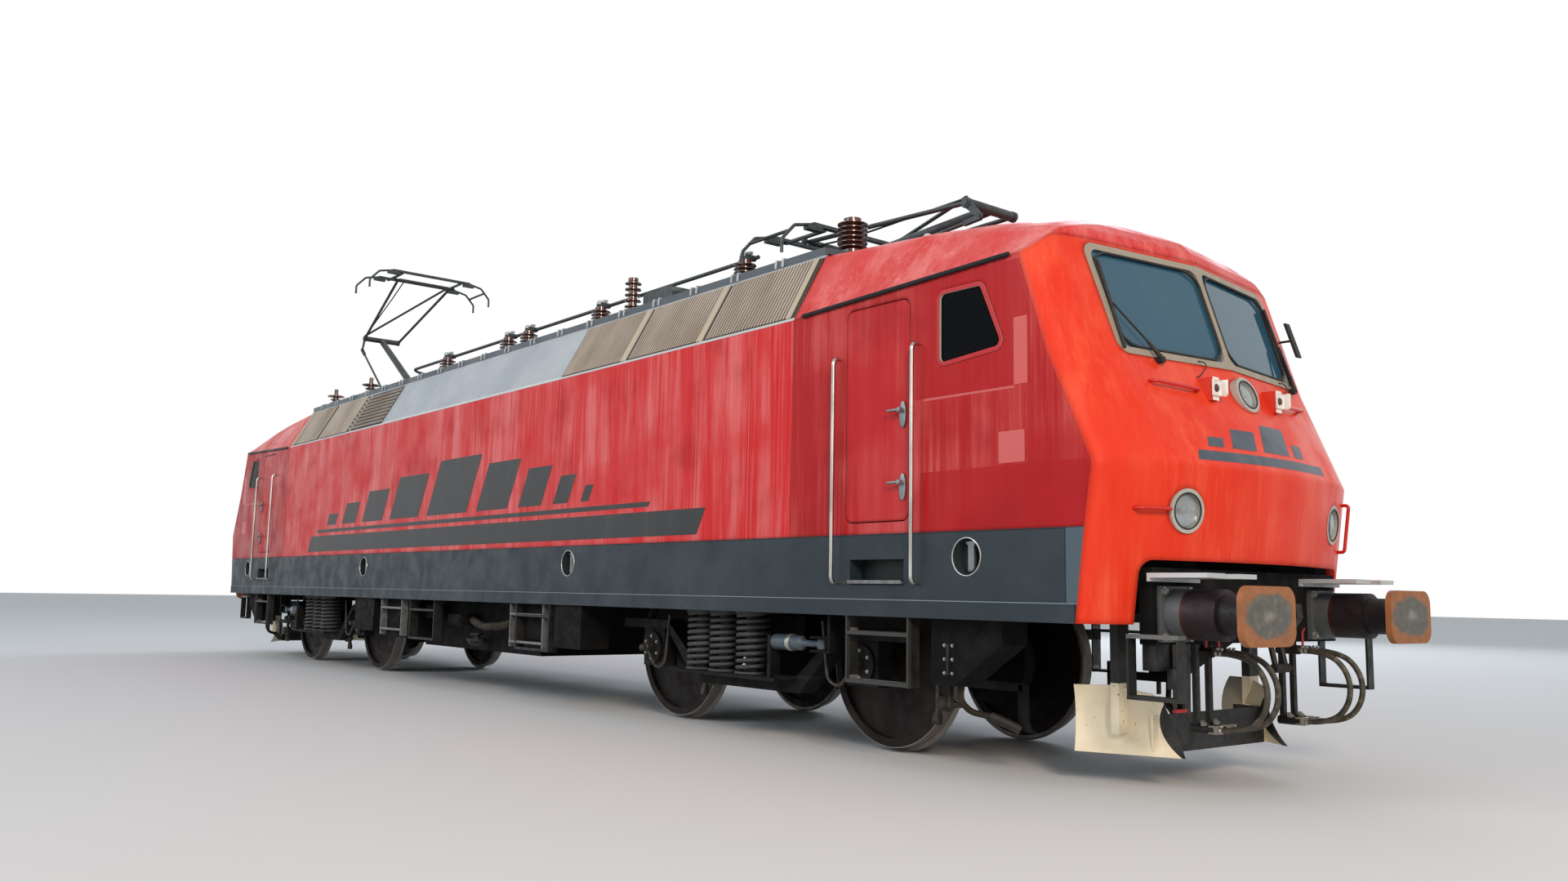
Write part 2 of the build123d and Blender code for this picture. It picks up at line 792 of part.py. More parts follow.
def build_roof():
    outer = roof_profile(0)
    inner = roof_profile(shell_thickness)
    outline = outer + list(reversed(inner))
    joints = (-machine_room_end, -panel_xs[0], panel_xs[0], machine_room_end)
    sections = zip(joints, joints[1:])
    hatches = []
    for x0, x1 in sections:
        hatch = prism_x(outline, x0 + panel_clearance, x1 - panel_clearance)
        hatches.append(hatch)
    recess_from = 28
    pockets = []
    for side in sides:
        for x0, x1 in ((panel_xs[0], machine_room_end), (-machine_room_end, -panel_xs[0])):
            plane = slant_plane(x0 if side < 0 else x1, side)
            corner = plane.from_local_coords((0, recess_from, 0))
            base = Plane(origin=corner, x_dir=plane.x_dir, z_dir=plane.y_dir)
            points = [(0, 0), (x1 - x0, 0), (x1 - x0, grille_thickness + 0.3), (0, grille_thickness + 0.3)]
            flip = 1 if base.y_dir.dot(plane.z_dir) < 0 else -1
            corners = [base.from_local_coords((u, flip * v, 0)) for u, v in points]
            sketch = make_face(Polyline(corners, close=True))
            pockets.append(extrude(sketch, amount=slant_length - 46, dir=plane.y_dir))
    for pocket in pockets:
        hatches = [hatch - pocket for hatch in hatches]
    save("roof_hatches", hatches)
    ribbed = []
    hooded = []
    for side in sides:
        for x0, x1 in zip(panel_xs[:-1], panel_xs[1:]):
            ribbed.append(grille_panel(x0, x1, side))
        ribbed.append(grille_panel(-panel_xs[2], -panel_xs[1], side))
        ribbed.append(grille_panel(-panel_xs[3], -panel_xs[2], side))
        hooded.append(louvre_panel(-panel_xs[1], -panel_xs[0], side))
    save("vent_grilles", ribbed + hooded)


# Doors, steps and rails
def build_doors():
    for end, cab in ((1, "cab_1"), (-1, "cab_2")):
        for side, name in ((1, "left"), (-1, "right")):
            leaf = rounded_prism_y(door_outline(door_gap), door_corner_radius - door_gap,
                                   side * half_width, side * (half_width - door_thickness))
            front_x = door_front_x - door_gap
            for height in door_handle_heights:
                plate = box(front_x - 75, front_x - 25, side * half_width, side * (half_width + 6),
                            rail_top + height - 95, rail_top + height + 45)
                spindle = rod((front_x - 50, side * half_width, rail_top + height),
                              (front_x - 50, side * (half_width + 45), rail_top + height), 22)
                lever = box(front_x - 160, front_x - 40, side * (half_width + 35), side * (half_width + 50),
                            rail_top + height - 10, rail_top + height + 10)
                leaf = leaf + plate + spindle + lever
            leaf = leaf + door_barrels(side)
            if end < 0:
                leaf = flip_x(leaf)
            save(cab + "_door_" + name, [leaf])


def build_rails():
    rails = []
    for side in sides:
        for x in (rail_rear_x, rail_front_x):
            low = rail_top + rail_bottom_height
            high = rail_top + rail_top_height
            wall = side * (half_width + 0.3)
            out = side * (half_width + rail_standoff)
            rails.append(bent_rod([(x, wall, low), (x, out, low), (x, out, high), (x, wall, high)],
                                  rail_diameter, 45))
    save("grab_rails", for_ends(rails) + for_turned_ends(nose_bars()))


def nose_bars():
    """Short grab bars on a cab front, each cut off at the sheet that it is welded to."""
    bars = []
    for y0, height0, y1, height1 in nose_bar_ends:
        points = []
        for y, height, reach in ((y0, height0, -30), (y0, height0, nose_bar_standoff),
                                 (y1, height1, nose_bar_standoff), (y1, height1, -30)):
            points.append((front_surface_x(height, y) + reach, y, rail_top + height))
        bars.append(bent_rod(points, nose_bar_diameter, 22) - cab_form(-seat_gap))
    return bars


def ladder(x0, x1, side):
    outer = side * (half_width - 5)
    inner = side * (half_width - 5 - ladder_depth)
    low = rail_top + ladder_bottom_height
    shape = None
    for x in (x0, x1 - ladder_plate):
        plate = box(x, x + ladder_plate, outer, inner, low, sill_bottom)
        shape = plate if shape is None else shape + plate
    for height in tread_heights:
        shape += box(x0, x1, outer, inner, rail_top + height - tread_thickness, rail_top + height)
    return shape


def build_ladders():
    steps = []
    for side in sides:
        for end in ends:
            x0, x1 = sorted((end * ladder_rear_x, end * ladder_front_x))
            steps.append(ladder(x0, x1, side))
        for x0, x1 in ((-1110, -400), (1651, 2362)):
            steps.append(ladder(x0, x1, side))
    return steps


# Buffers, coupling, hoses and the rest of the ends
def build_buffers():
    barrels = []
    heads = []
    for side in sides:
        y = side * buffer_half_spacing
        z = rail_top + buffer_height
        half = buffer_flange_size / 2
        flange_x = headstock_x + buffer_flange_thickness
        barrel = box(headstock_x, flange_x, y - half, y + half, z - half, z + half)
        barrel += rod((flange_x, y, z), (flange_x + buffer_barrel_length, y, z), buffer_barrel_diameter)
        barrels.append(barrel)
        plate_x = half_length - buffer_plate_thickness
        plunger = rod((flange_x + buffer_barrel_length, y, z), (plate_x, y, z), buffer_plunger_diameter)
        plate = rounded_prism_x([(y - buffer_plate_width / 2, z - buffer_plate_height / 2),
                                 (y + buffer_plate_width / 2, z - buffer_plate_height / 2),
                                 (y + buffer_plate_width / 2, z + buffer_plate_height / 2),
                                 (y - buffer_plate_width / 2, z + buffer_plate_height / 2)],
                                buffer_plate_radius, plate_x, half_length)
        heads.append(plunger + plate)
    save("buffer_barrels", for_ends(barrels))
    save("buffer_heads", for_ends(heads))


# Draw hook: distance in front of the headstock, height above the middle of the buffers
hook_outline = [(150, -60), (290, -70), (330, -10), (320, 70), (280, 75), (270, 0), (215, 0), (200, 60),
                (150, 60)]
hook_half_width = 35
coupling_link_y = 60
coupling_pin_ahead = 120
coupling_screw_ahead = 190
coupling_drop = 330


def build_coupling():
    z = rail_top + buffer_height
    shank = box(headstock_x, headstock_x + 150, -hook_half_width, hook_half_width, z - 60, z + 60)
    hook = prism_y([(headstock_x + ahead, z + rise) for ahead, rise in hook_outline],
                   -hook_half_width, hook_half_width)
    guide = box(headstock_x, headstock_x + 40, -140, 140, z - 120, z + 120)
    pin_x = headstock_x + coupling_pin_ahead
    screw_x = headstock_x + coupling_screw_ahead
    screw_z = z - coupling_drop
    links = None
    for side in sides:
        link = rod((pin_x, side * coupling_link_y, z), (screw_x, side * coupling_link_y, screw_z), 36)
        links = link if links is None else links + link
    links += rod((pin_x, -80, z), (pin_x, 80, z), 50)
    links += rod((screw_x, -90, screw_z), (screw_x, 90, screw_z), 56)
    save("screw_couplings", for_ends([shank + hook + guide + links]))


def hose_points(y, reach):
    """Route of one brake hose, from its cock forwards, down in a bow and back to its holder."""
    top = rail_top + hose_top_height
    low = top - 2 * hose_bulge
    centre_x = cock_x + 100
    far_x = centre_x + hose_bulge + reach
    half_side = hose_bulge * math.tan(math.radians(22.5))
    turn_x = far_x - hose_bulge + half_side
    return [(cock_x, y, top), (turn_x, y, top), (far_x, y, top - hose_bulge + half_side),
            (far_x, y, low + hose_bulge - half_side), (turn_x, y, low), (cock_x, y, low)]


def build_hoses():
    cocks = []
    number = 0
    for end in ends:
        for side in sides:
            for index, half_spacing in enumerate(hose_half_spacings):
                number += 1
                y = side * half_spacing
                points = hose_points(y, 12 * index)
                radii = corner_radii(points)
                path = FilletPolyline([Vector(p) for p in points], radius=radii)
                plane = Plane(origin=points[0], z_dir=(1, 0, 0))
                tube = sweep(plane * Circle(hose_diameter / 2), path=path)
                if end < 0:
                    tube = flip_x(tube)
                save("brake_hose_" + str(number), [tube])
                top = points[0][2]
                low = points[-1][2]
                riser_x = headstock_x - headstock_thickness / 2
                cock = rod((riser_x - 30, y, top), (cock_x, y, top), cock_diameter)
                cock += rod((riser_x, y, top), (riser_x, y, rail_top + headstock_bottom_height),
                            cock_diameter)
                holder = rod((riser_x - 30, y, low), (cock_x, y, low), cock_diameter)
                holder += box(riser_x - 15, riser_x + 15, y - 20, y + 20, low, top)
                piece = cock + holder
                cocks.append(flip_x(piece) if end < 0 else piece)
    save("hose_cocks", cocks)


def corner_radii(points):
    """Bend radius at each inner point of a route, so that bends use less than half of the shorter run."""
    radii = []
    for before, here, after in zip(points, points[1:], points[2:]):
        into = Vector(here) - Vector(before)
        out = Vector(after) - Vector(here)
        turn = math.radians(into.get_angle(out))
        radii.append(0.45 * min(into.length, out.length) / math.tan(turn / 2))
    return radii


def build_front_steps():
    pieces = []
    for side in sides:
        z = rail_top + front_tread_height
        tread = box(headstock_x, front_tread_x, side * 610, side * 1140, z, z + front_tread_thickness)
        tread -= box(front_tread_x - 90, front_tread_x, side * 800, side * 950, z, z + front_tread_thickness)
        leg = box(headstock_x, headstock_x + 20, side * 610, side * 1140, z - 22, z)
        pieces.append(tread + leg)
        inner = side * (headstock_half_width + seat_gap)
        outer = side * (headstock_half_width + stirrup_depth)
        low = rail_top + stirrup_bottom_height
        high = rail_top + stirrup_top_height
        stirrup = None
        for x in (stirrup_rear_x, stirrup_front_x - stirrup_bar):
            bar = box(x, x + stirrup_bar, inner, outer, low, high)
            stirrup = bar if stirrup is None else stirrup + bar
        for z in (low, high - tread_thickness):
            stirrup += box(stirrup_rear_x, stirrup_front_x, inner, outer, z, z + tread_thickness)
        pieces.append(stirrup)
    save("steps_and_ladders", build_ladders() + for_ends(pieces))


guard_rear = (half_length - 1316, 938)
guard_front = (half_length - 729, 623)
guard_thickness = 12
guard_bow = 90
guard_outline = [(0, 591), (226, 596), (477, 551), (541, 494), (578, 405), (671, 170), (0, 177)]
guard_centre_top_height = 420
guard_stay_bottom_height = 300


def guard_sheet(side):
    """Bowed blade: its section is an arc that leads forwards at the foot, cut to the blade's outline."""
    start = Vector(guard_rear[0], side * guard_rear[1], 0)
    along = Vector(guard_front[0] - guard_rear[0], side * (guard_front[1] - guard_rear[1]), 0).normalized()
    inward = Vector(0, 0, 1).cross(along) * (1 if side < 0 else -1)
    face = make_face(Polyline([start + along * s + Vector(0, 0, rail_top + z) for s, z in guard_outline],
                              close=True))
    block = extrude(face, amount=guard_bow + 2 * guard_thickness, dir=inward)
    low = rail_top + min(z for s, z in guard_outline) - 20
    high = rail_top + max(z for s, z in guard_outline) + 20
    foot = start - along * 50 + Vector(0, 0, low)
    head = start - along * 50 + Vector(0, 0, high)
    middle = (foot + head) * 0.5 + inward * guard_bow
    outer = ThreePointArc(foot, middle, head)
    inner = ThreePointArc(head + inward * guard_thickness, middle + inward * guard_thickness,
                          foot + inward * guard_thickness)
    caps = [Line(head, head + inward * guard_thickness), Line(foot + inward * guard_thickness, foot)]
    section = make_face(Wire([*outer.edges(), *caps[0].edges(), *inner.edges(), *caps[1].edges()]))
    return extrude(section, amount=900, dir=along) & block


def build_rail_guards():
    pieces = []
    stay_x = guard_rear[0] + 200
    plate_x = guard_front[0] - 190
    plate = box(plate_x, plate_x + guard_thickness, -guard_front[1] - 60, guard_front[1] + 60,
                rail_top + 180, rail_top + guard_centre_top_height)
    for side in sides:
        stay = box(stay_x, stay_x + 60, side * (guard_rear[1] - 230), side * (guard_rear[1] - 115),
                   rail_top + guard_stay_bottom_height, arm_bottom - seat_gap)
        stay += box(stay_x, stay_x + 60, side * arm_inner_y, side * (guard_rear[1] - 200), arm_bottom - 60,
                    arm_bottom - seat_gap)
        plate += box(stay_x, plate_x, side * (guard_front[1] - 40), side * (guard_front[1] - 20),
                     rail_top + guard_stay_bottom_height, rail_top + guard_centre_top_height)
        plate += box(stay_x, stay_x + 60, side * (guard_front[1] - 40), side * (guard_rear[1] - 200),
                     rail_top + guard_stay_bottom_height, rail_top + guard_centre_top_height)
        plate += guard_sheet(side) + stay
    pieces.append(plate)
    save("rail_guards", for_ends(pieces))


# Lamps, wipers and mirrors
lower_lamp_y = 879
lower_lamp_height = 1665
lower_lamp_diameter = 270
upper_lamp_height = 2476
upper_lamp_diameter = 250
lamp_depth = 90
lamp_ring = 30
lamp_proud = 12
tail_lamp_y = 385
tail_lamp_size = (110, 150, 70)


def lamp(centre, normal, diameter):
    """Ring and lens of a headlamp that looks along normal."""
    centre = Vector(centre)
    normal = Vector(normal).normalized()
    back = centre - normal * lamp_depth
    ring = rod(back, centre + normal * 18, diameter) - rod(centre - normal * 40, centre + normal * 19,
                                                          diameter - 2 * lamp_ring)
    lens = rod(centre - normal * 39.7, centre - normal * 4, diameter - 2 * lamp_ring - 0.6)
    return ring, lens


def lamp_places():
    """Centre, direction and diameter of the headlamps of one cab."""
    x = front_x_at(lower_lamp_height, lower_lamp_y) + lamp_proud
    places = [((x, side * lower_lamp_y, rail_top + lower_lamp_height), (1, side * 0.2, -0.1),
               lower_lamp_diameter) for side in sides]
    upper_x = front_x_at(upper_lamp_height, 0) + lamp_proud
    places.append(((upper_x, 0, rail_top + upper_lamp_height), (1, 0, 0.3), upper_lamp_diameter))
    return places


def lamp_bores():
    """Round holes in the cab front that the headlamps sit in."""
    bores = []
    for centre, normal, diameter in lamp_places():
        normal = Vector(normal).normalized()
        bores.append(rod(Vector(centre) - normal * 200, Vector(centre) + normal * 100, diameter + 0.6))
    return bores


def build_lamps():
    rings = []
    lenses = []
    for centre, normal, diameter in lamp_places():
        ring, lens = lamp(centre, normal, diameter)
        rings.append(ring)
        lenses.append(lens)
    depth, height, width = tail_lamp_size
    for side in sides:
        x = front_x_at(upper_lamp_height, tail_lamp_y)
        z = rail_top + upper_lamp_height
        blank = box(x - 150, x + depth * 0.75, side * tail_lamp_y - width / 2, side * tail_lamp_y + width / 2,
                    z - height / 2, z + height / 2)
        rings.append(blank - cab_form(-0.3))
    save("lamp_housings", for_ends(rings))
    save("lamp_lenses", for_ends(lenses))


wiper_pivot_height = 2640
wiper_blade_heights = (2690, 3290)
# Wipers: y of the pivot, y of the blade
wiper_ys = [(-721, -1010), (960, 1010)]
wiper_lift = 30
mirror_y = 1215
mirror_heights = (2935, 3205)
mirror_width = 56
mirror_standoff = 95


def on_front(y, height, lift):
    return Vector(front_surface_x(height, y) + lift, y, rail_top + height)


def wiper(pivot_y, blade_y):
    """Wiper arm on its pivot housing, with a blade that lies along the outer edge of the pane."""
    low, high = wiper_blade_heights
    middle = (low + high) / 2
    pivot = on_front(pivot_y, wiper_pivot_height, -30)
    knuckle = on_front(pivot_y, wiper_pivot_height, wiper_lift + 22)
    elbow = on_front((pivot_y * 2 + blade_y) / 3, (wiper_pivot_height * 2 + middle) / 3, wiper_lift + 18)
    shape = rod(pivot, knuckle, 46)
    shape += tapered_rod(knuckle - Vector(6, 0, 0), elbow, 34, 20)
    shape += rod(elbow, on_front(blade_y, middle, wiper_lift + 4), 14)
    shape += rod(on_front(blade_y, low, wiper_lift - 8), on_front(blade_y, high, wiper_lift - 8), 22)
    return shape - cab_form(-screen_frame_proud - seat_gap)


def mirror_with_arm():
    low, high = mirror_heights
    inner = mirror_y - mirror_width / 2
    outer = mirror_y + mirror_width / 2
    foot_x = front_surface_x(low, mirror_y) + mirror_standoff
    head_x = front_surface_x(high, mirror_y) + mirror_standoff
    middle = (low + high) / 2
    panel = prism_y([(foot_x, rail_top + low), (foot_x + 20, rail_top + low), (head_x + 20, rail_top + high),
                     (head_x, rail_top + high)], inner, outer)
    arm = rod(on_front(mirror_y, middle, -30), on_front(mirror_y, middle, mirror_standoff + 10), 18)
    return panel + (arm - cab_form(-seat_gap))


def build_wipers_and_mirrors():
    pieces = [wiper(pivot_y, blade_y) for pivot_y, blade_y in wiper_ys]
    save("wipers_and_mirrors", for_turned_ends(pieces + [mirror_with_arm()]))


# Bogies
def wheelset(x):
    """Two flanged wheels, their axle and two brake discs, as one solid of revolution about Y."""
    inner = wheel_back_to_back / 2
    outer = inner + wheel_width
    flange = wheel_radius + flange_depth
    rim = wheel_radius - 70
    hub = axle_diameter / 2 + 50
    web_inner = inner + 45
    web_outer = web_inner + wheel_web_thickness
    half = [(0, 0), (axle_diameter / 2, 0), (axle_diameter / 2, 330), (brake_disc_diameter / 2, 330),
            (brake_disc_diameter / 2, 440), (axle_diameter / 2, 440), (axle_diameter / 2, inner),
            (hub, inner), (hub, web_inner), (rim, web_inner), (rim, inner), (flange - 14, inner),
            (flange, inner + 12), (flange, inner + 18), (wheel_radius, inner + flange_width),
            (wheel_radius - 2, outer), (rim, outer), (rim, web_outer), (hub, web_outer), (hub, outer),
            (axle_diameter / 2 - 20, outer), (axle_diameter / 2 - 20, journal_end_y), (0, journal_end_y)]
    solid = turned(half, (x, 0, axle_z), (0, 1, 0))
    return solid + mirror(solid, about=Plane.XZ)


def build_bogie(end, number):
    centre = end * bogie_spacing / 2
    half_base = bogie_wheelbase / 2
    top = rail_top + frame_top_height
    bottom = rail_top + frame_bottom_height
    seat = rail_top + spring_seat_height
    frame = None
    reach = half_base + 480
    drop_half = 700
    for side in sides:
        inner = side * frame_half_gap
        outer = side * (frame_half_gap + frame_beam_width)
        beam = prism_y([(centre - reach, bottom + 160), (centre - half_base + 240, bottom + 160),
                        (centre - drop_half, seat - 120), (centre + drop_half, seat - 120),
                        (centre + half_base - 240, bottom + 160), (centre + reach, bottom + 160),
                        (centre + reach, top), (centre + half_base - 240, top),
                        (centre + drop_half - 40, seat), (centre - drop_half + 40, seat), (centre - half_base + 240, top),
                        (centre - reach, top)], inner, outer)
        seat_plate = box(centre - drop_half + 30, centre + drop_half - 30, side * frame_half_gap,
                         side * (spring_y + spring_seat_width / 2), seat - 25, seat)
        beam += seat_plate
        beam += box(centre + end * (damper_inner_offset - 40),
                    centre + end * (damper_inner_offset - seat_gap), side * (damper_y - 50),
                    side * (damper_y + 50), seat, rail_top + damper_height + 50)
        for axle in (-half_base, half_base):
            x = centre + axle
            keep = box(x - axle_box_size / 2, x + axle_box_size / 2, inner,
                       side * (frame_half_gap + axle_box_depth - 30), axle_z - axle_box_size / 2,
                       bottom + 170)
            beam += keep
            cover_y = frame_half_gap + axle_box_depth
            beam += rod((x, inner, axle_z), (x, side * cover_y, axle_z), axle_cover_diameter)
            beam -= rod((x, side * 900, axle_z), (x, side * (journal_end_y + journal_end_clearance), axle_z),
                        axle_diameter - 40 + 2 * axle_radius_clearance)
        frame = beam if frame is None else frame + beam
    centre_beam = box(centre - transom_half_length, centre + transom_half_length, -frame_half_gap,
                      frame_half_gap, seat - 60, seat + 180)
    centre_beam -= rod((centre, 0, 300), (centre, 0, 1200), swivel_pin_diameter + 60)
    frame += centre_beam
    save("bogie_" + str(number) + "_frame", [frame])

    springs = []
    height = sill_bottom - 0.3 - seat
    for side in sides:
        for offset in spring_xs:
            springs.append(spring((centre + end * offset, side * spring_y, seat), height))
        z = rail_top + damper_height
        near = centre + end * damper_inner_offset
        eye_x = centre + end * damper_eye_offset
        joint_x = near + end * damper_body_length
        damper = rod((near, side * damper_y, z), (joint_x, side * damper_y, z), damper_diameter)
        damper += rod((joint_x, side * damper_y, z), (eye_x, side * damper_y, z), damper_rod_diameter)
        damper += rod((eye_x, side * damper_y, z - damper_eye_height / 2),
                      (eye_x, side * damper_y, z + damper_eye_height / 2), damper_eye_diameter)
        springs.append(damper)
    save("bogie_" + str(number) + "_suspension", springs)

    motors = []
    for axle in (-1, 1):
        near = centre + axle * (transom_half_length + seat_gap)
        motors.append(box(near, near + axle * motor_length, -motor_half_width, motor_half_width,
                          rail_top + motor_bottom_height, rail_top + motor_top_height))
    save("bogie_" + str(number) + "_motors", motors)


def spring(foot, height):
    """Coil spring as a turned column with one rounded ridge a coil."""
    pitch = height / spring_coils
    core = spring_diameter / 2 - 38
    edge = spring_diameter / 2
    points = [(0, 0), (core, 0)]
    for index in range(spring_coils):
        low = index * pitch
        points += [(core, low + 0.1 * pitch), (edge, low + 0.35 * pitch), (edge, low + 0.7 * pitch),
                   (core, low + 0.95 * pitch)]
    points += [(core, height), (0, height)]
    return turned(points, foot, (0, 0, 1))


# Roof equipment and pantographs
def insulator(x, y, foot_z, height, sheds, shed_diameter):
    """Ribbed insulator on a round foot, with a metal cap."""
    core = shed_diameter * 0.27
    edge = shed_diameter / 2
    points = [(0, 0), (core + 22, 0), (core + 22, 30), (core, 30)]
    pitch = (height - 60) / sheds
    for index in range(sheds):
        low = 30 + index * pitch
        points += [(core, low + pitch * 0.3), (edge, low + pitch * 0.45), (edge, low + pitch * 0.62),
                   (core, low + pitch * 0.85)]
    points += [(core, height - 30), (core + 8, height - 30), (core + 8, height), (0, height)]
    return turned(points, (x, y, foot_z), (0, 0, 1))


def deck_z_at(y):
    share = abs(y) / shoulder_half_width
    return deck_crown_z + (deck_edge_z - deck_crown_z) * share


def seat_z_at(y, shed_diameter):
    """Height at which an insulator's foot rests on the sloping deck."""
    return deck_z_at(abs(y) - shed_diameter * 0.27 - 22) + 0.3


def build_roof_gear():
    foot_z = seat_z_at(insulator_line_y, insulator_shed_diameter)
    parts = []
    for x in insulator_xs:
        parts.append(insulator(x, insulator_line_y, foot_z, insulator_height, insulator_sheds,
                               insulator_shed_diameter))
    arrester_foot_z = seat_z_at(arrester_y, arrester_diameter)
    parts.append(insulator(arrester_x, arrester_y, arrester_foot_z, arrester_height, 6, arrester_diameter))
    lead_foot_z = seat_z_at(insulator_line_y, lead_insulator_diameter)
    parts.append(insulator(lead_insulator_x, insulator_line_y, lead_foot_z, lead_insulator_height, 6,
                           lead_insulator_diameter))
    save("roof_insulators", parts)
    bar_z = foot_z + insulator_height + bar_diameter / 2 + seat_gap
    bar = bent_rod([(insulator_xs[-1] + 120, bar_y, bar_z), (bar_bow_x, bar_y, bar_z),
                    (bar_bow_x, bar_bow_y, bar_z - 60), (bar_bow_x + 700, bar_bow_y, bar_z - 60)],
                   bar_diameter, 180)
    for x in insulator_xs:
        for low_x in (x - 50, x + 10):
            bar += box(low_x, low_x + 40, bar_y - 90, bar_y + 30, bar_z - bar_diameter / 2, bar_z + 30)
    save("busbar_and_switch", [bar, switch_box()])


def switch_box():
    """Finned housing of the main switch on the deck."""
    base_z = deck_z_at(switch_inner_y) + seat_gap
    top_z = base_z + switch_height
    outline = [(switch_rear_x, base_z), (switch_front_x, base_z), (switch_front_x, top_z - 60),
               (switch_front_x - 60, top_z), (switch_rear_x, top_z)]
    shape = prism_y(outline, switch_outer_y, switch_inner_y)
    pitch = (switch_inner_y - switch_outer_y - switch_fin) / (switch_fin_count - 1)
    for index in range(switch_fin_count):
        y = switch_outer_y + index * pitch
        shape += box(switch_rear_x - 60, switch_rear_x, y, y + switch_fin, base_z + 20, top_z - 10)
    return shape


def arm_point(origin, length, angle, direction):
    return (origin[0] + direction * length * math.cos(math.radians(angle)),
            origin[1] + length * math.sin(math.radians(angle)))


def build_pantograph(end, number, lower_angle, upper_angle):
    """Half-scissor pantograph whose knee points to the nearer cab."""
    pivot_z = rail_top + pantograph_pivot_height
    base = (end * pantograph_base_x, pivot_z)
    knee = arm_point(base, lower_arm_length, lower_angle, end)
    top = arm_point(knee, upper_arm_length, upper_angle, -end)
    lever_angle = control_lever_angle - (upper_angle - raised_upper_angle)
    lever_pin = arm_point(knee, control_lever_length, lever_angle, end)
    rod_pin = (end * (pantograph_base_x + rod_base_x), pivot_z - rod_base_drop)
    name = "pantograph_" + str(number)
    save(name + "_lower_arm", [lower_arm(base, knee)])
    save(name + "_upper_arm", [upper_arm(knee, top, lever_pin)])
    save(name + "_control_rod", [control_rod(rod_pin, lower_angle, end)])
    save(name + "_head", [contact_head(top, -end)])


def lower_arm(base, knee):
    """Tapered tube with its pivot tube at the foot and the knee tube that carries the upper arm."""
    shape = tapered_rod((base[0], 0, base[1]), (knee[0], 0, knee[1]), lower_arm_foot_diameter,
                        lower_arm_knee_diameter)
    shape += rod((base[0], -195, base[1]), (base[0], 195, base[1]), pivot_diameter)
    shape += rod((base[0], -cheek_inner_y + 8, base[1]), (base[0], cheek_inner_y - 8, base[1]),
                 lower_arm_foot_diameter)
    pin_y = knee_half_width + 50
    shape += rod((knee[0], -pin_y, knee[1]), (knee[0], pin_y, knee[1]), knee_diameter)
    sleeve_y = knee_half_width
    shape += rod((knee[0], -sleeve_y, knee[1]), (knee[0], sleeve_y, knee[1]), knee_diameter + 26)
    return shape


def upper_arm(knee, top, lever_pin):
    """Two side tubes and a diagonal between the knee eyes and the head pin, with the control lever."""
    pin_y = upper_top_half_width + 70
    shape = rod((top[0], -pin_y, top[1]), (top[0], pin_y, top[1]), head_pin_diameter)
    shape += rod((top[0], -upper_top_half_width + 20, top[1]), (top[0], upper_top_half_width - 20, top[1]),
                 head_pin_diameter + 16)
    eye_offset = knee_half_width + 25
    for side in sides:
        eye_y = side * eye_offset
        shape += rod((knee[0], eye_y, knee[1]), (top[0], side * upper_top_half_width, top[1]),
                     upper_tube_diameter)
        shape += rod((knee[0], eye_y - 17, knee[1]), (knee[0], eye_y + 17, knee[1]), knee_diameter + 34)
    shape += rod((knee[0], -eye_offset, knee[1] + diagonal_rise),
                 (top[0], upper_top_half_width - 30, top[1] + 10), upper_tube_diameter - 6)
    levelling_y = -upper_top_half_width + 90
    bend = ((knee[0] + top[0] * 3) / 4, levelling_y, (knee[1] + top[1] * 3) / 4 - 40)
    shape += rod((knee[0], -eye_offset + 10, knee[1] + diagonal_rise), bend, levelling_rod_diameter)
    shape += rod(bend, (top[0], levelling_y, top[1] - 20), levelling_rod_diameter)
    lever_y = -eye_offset
    half = control_lever_thickness / 2
    across = Vector(knee[1] - lever_pin[1], 0, lever_pin[0] - knee[0]).normalized()
    wide = across * (knee_diameter / 2 + 10)
    narrow = across * (lever_end_diameter / 2 - 4)
    outline = [(knee[0] + wide.X, knee[1] + wide.Z), (knee[0] - wide.X, knee[1] - wide.Z),
               (lever_pin[0] - narrow.X, lever_pin[1] - narrow.Z),
               (lever_pin[0] + narrow.X, lever_pin[1] + narrow.Z)]
    shape += prism_y(outline, lever_y - half, lever_y + half)
    shape += rod((lever_pin[0], lever_y - half, lever_pin[1]), (lever_pin[0], lever_y + half, lever_pin[1]),
                 lever_end_diameter)
    bore_y = knee_half_width + 80
    bores = [rod((knee[0], side * (knee_half_width - 30), knee[1]), (knee[0], side * bore_y, knee[1]),
                 knee_diameter + pin_clearance) for side in sides]
    return shape - bores[0] - bores[1]


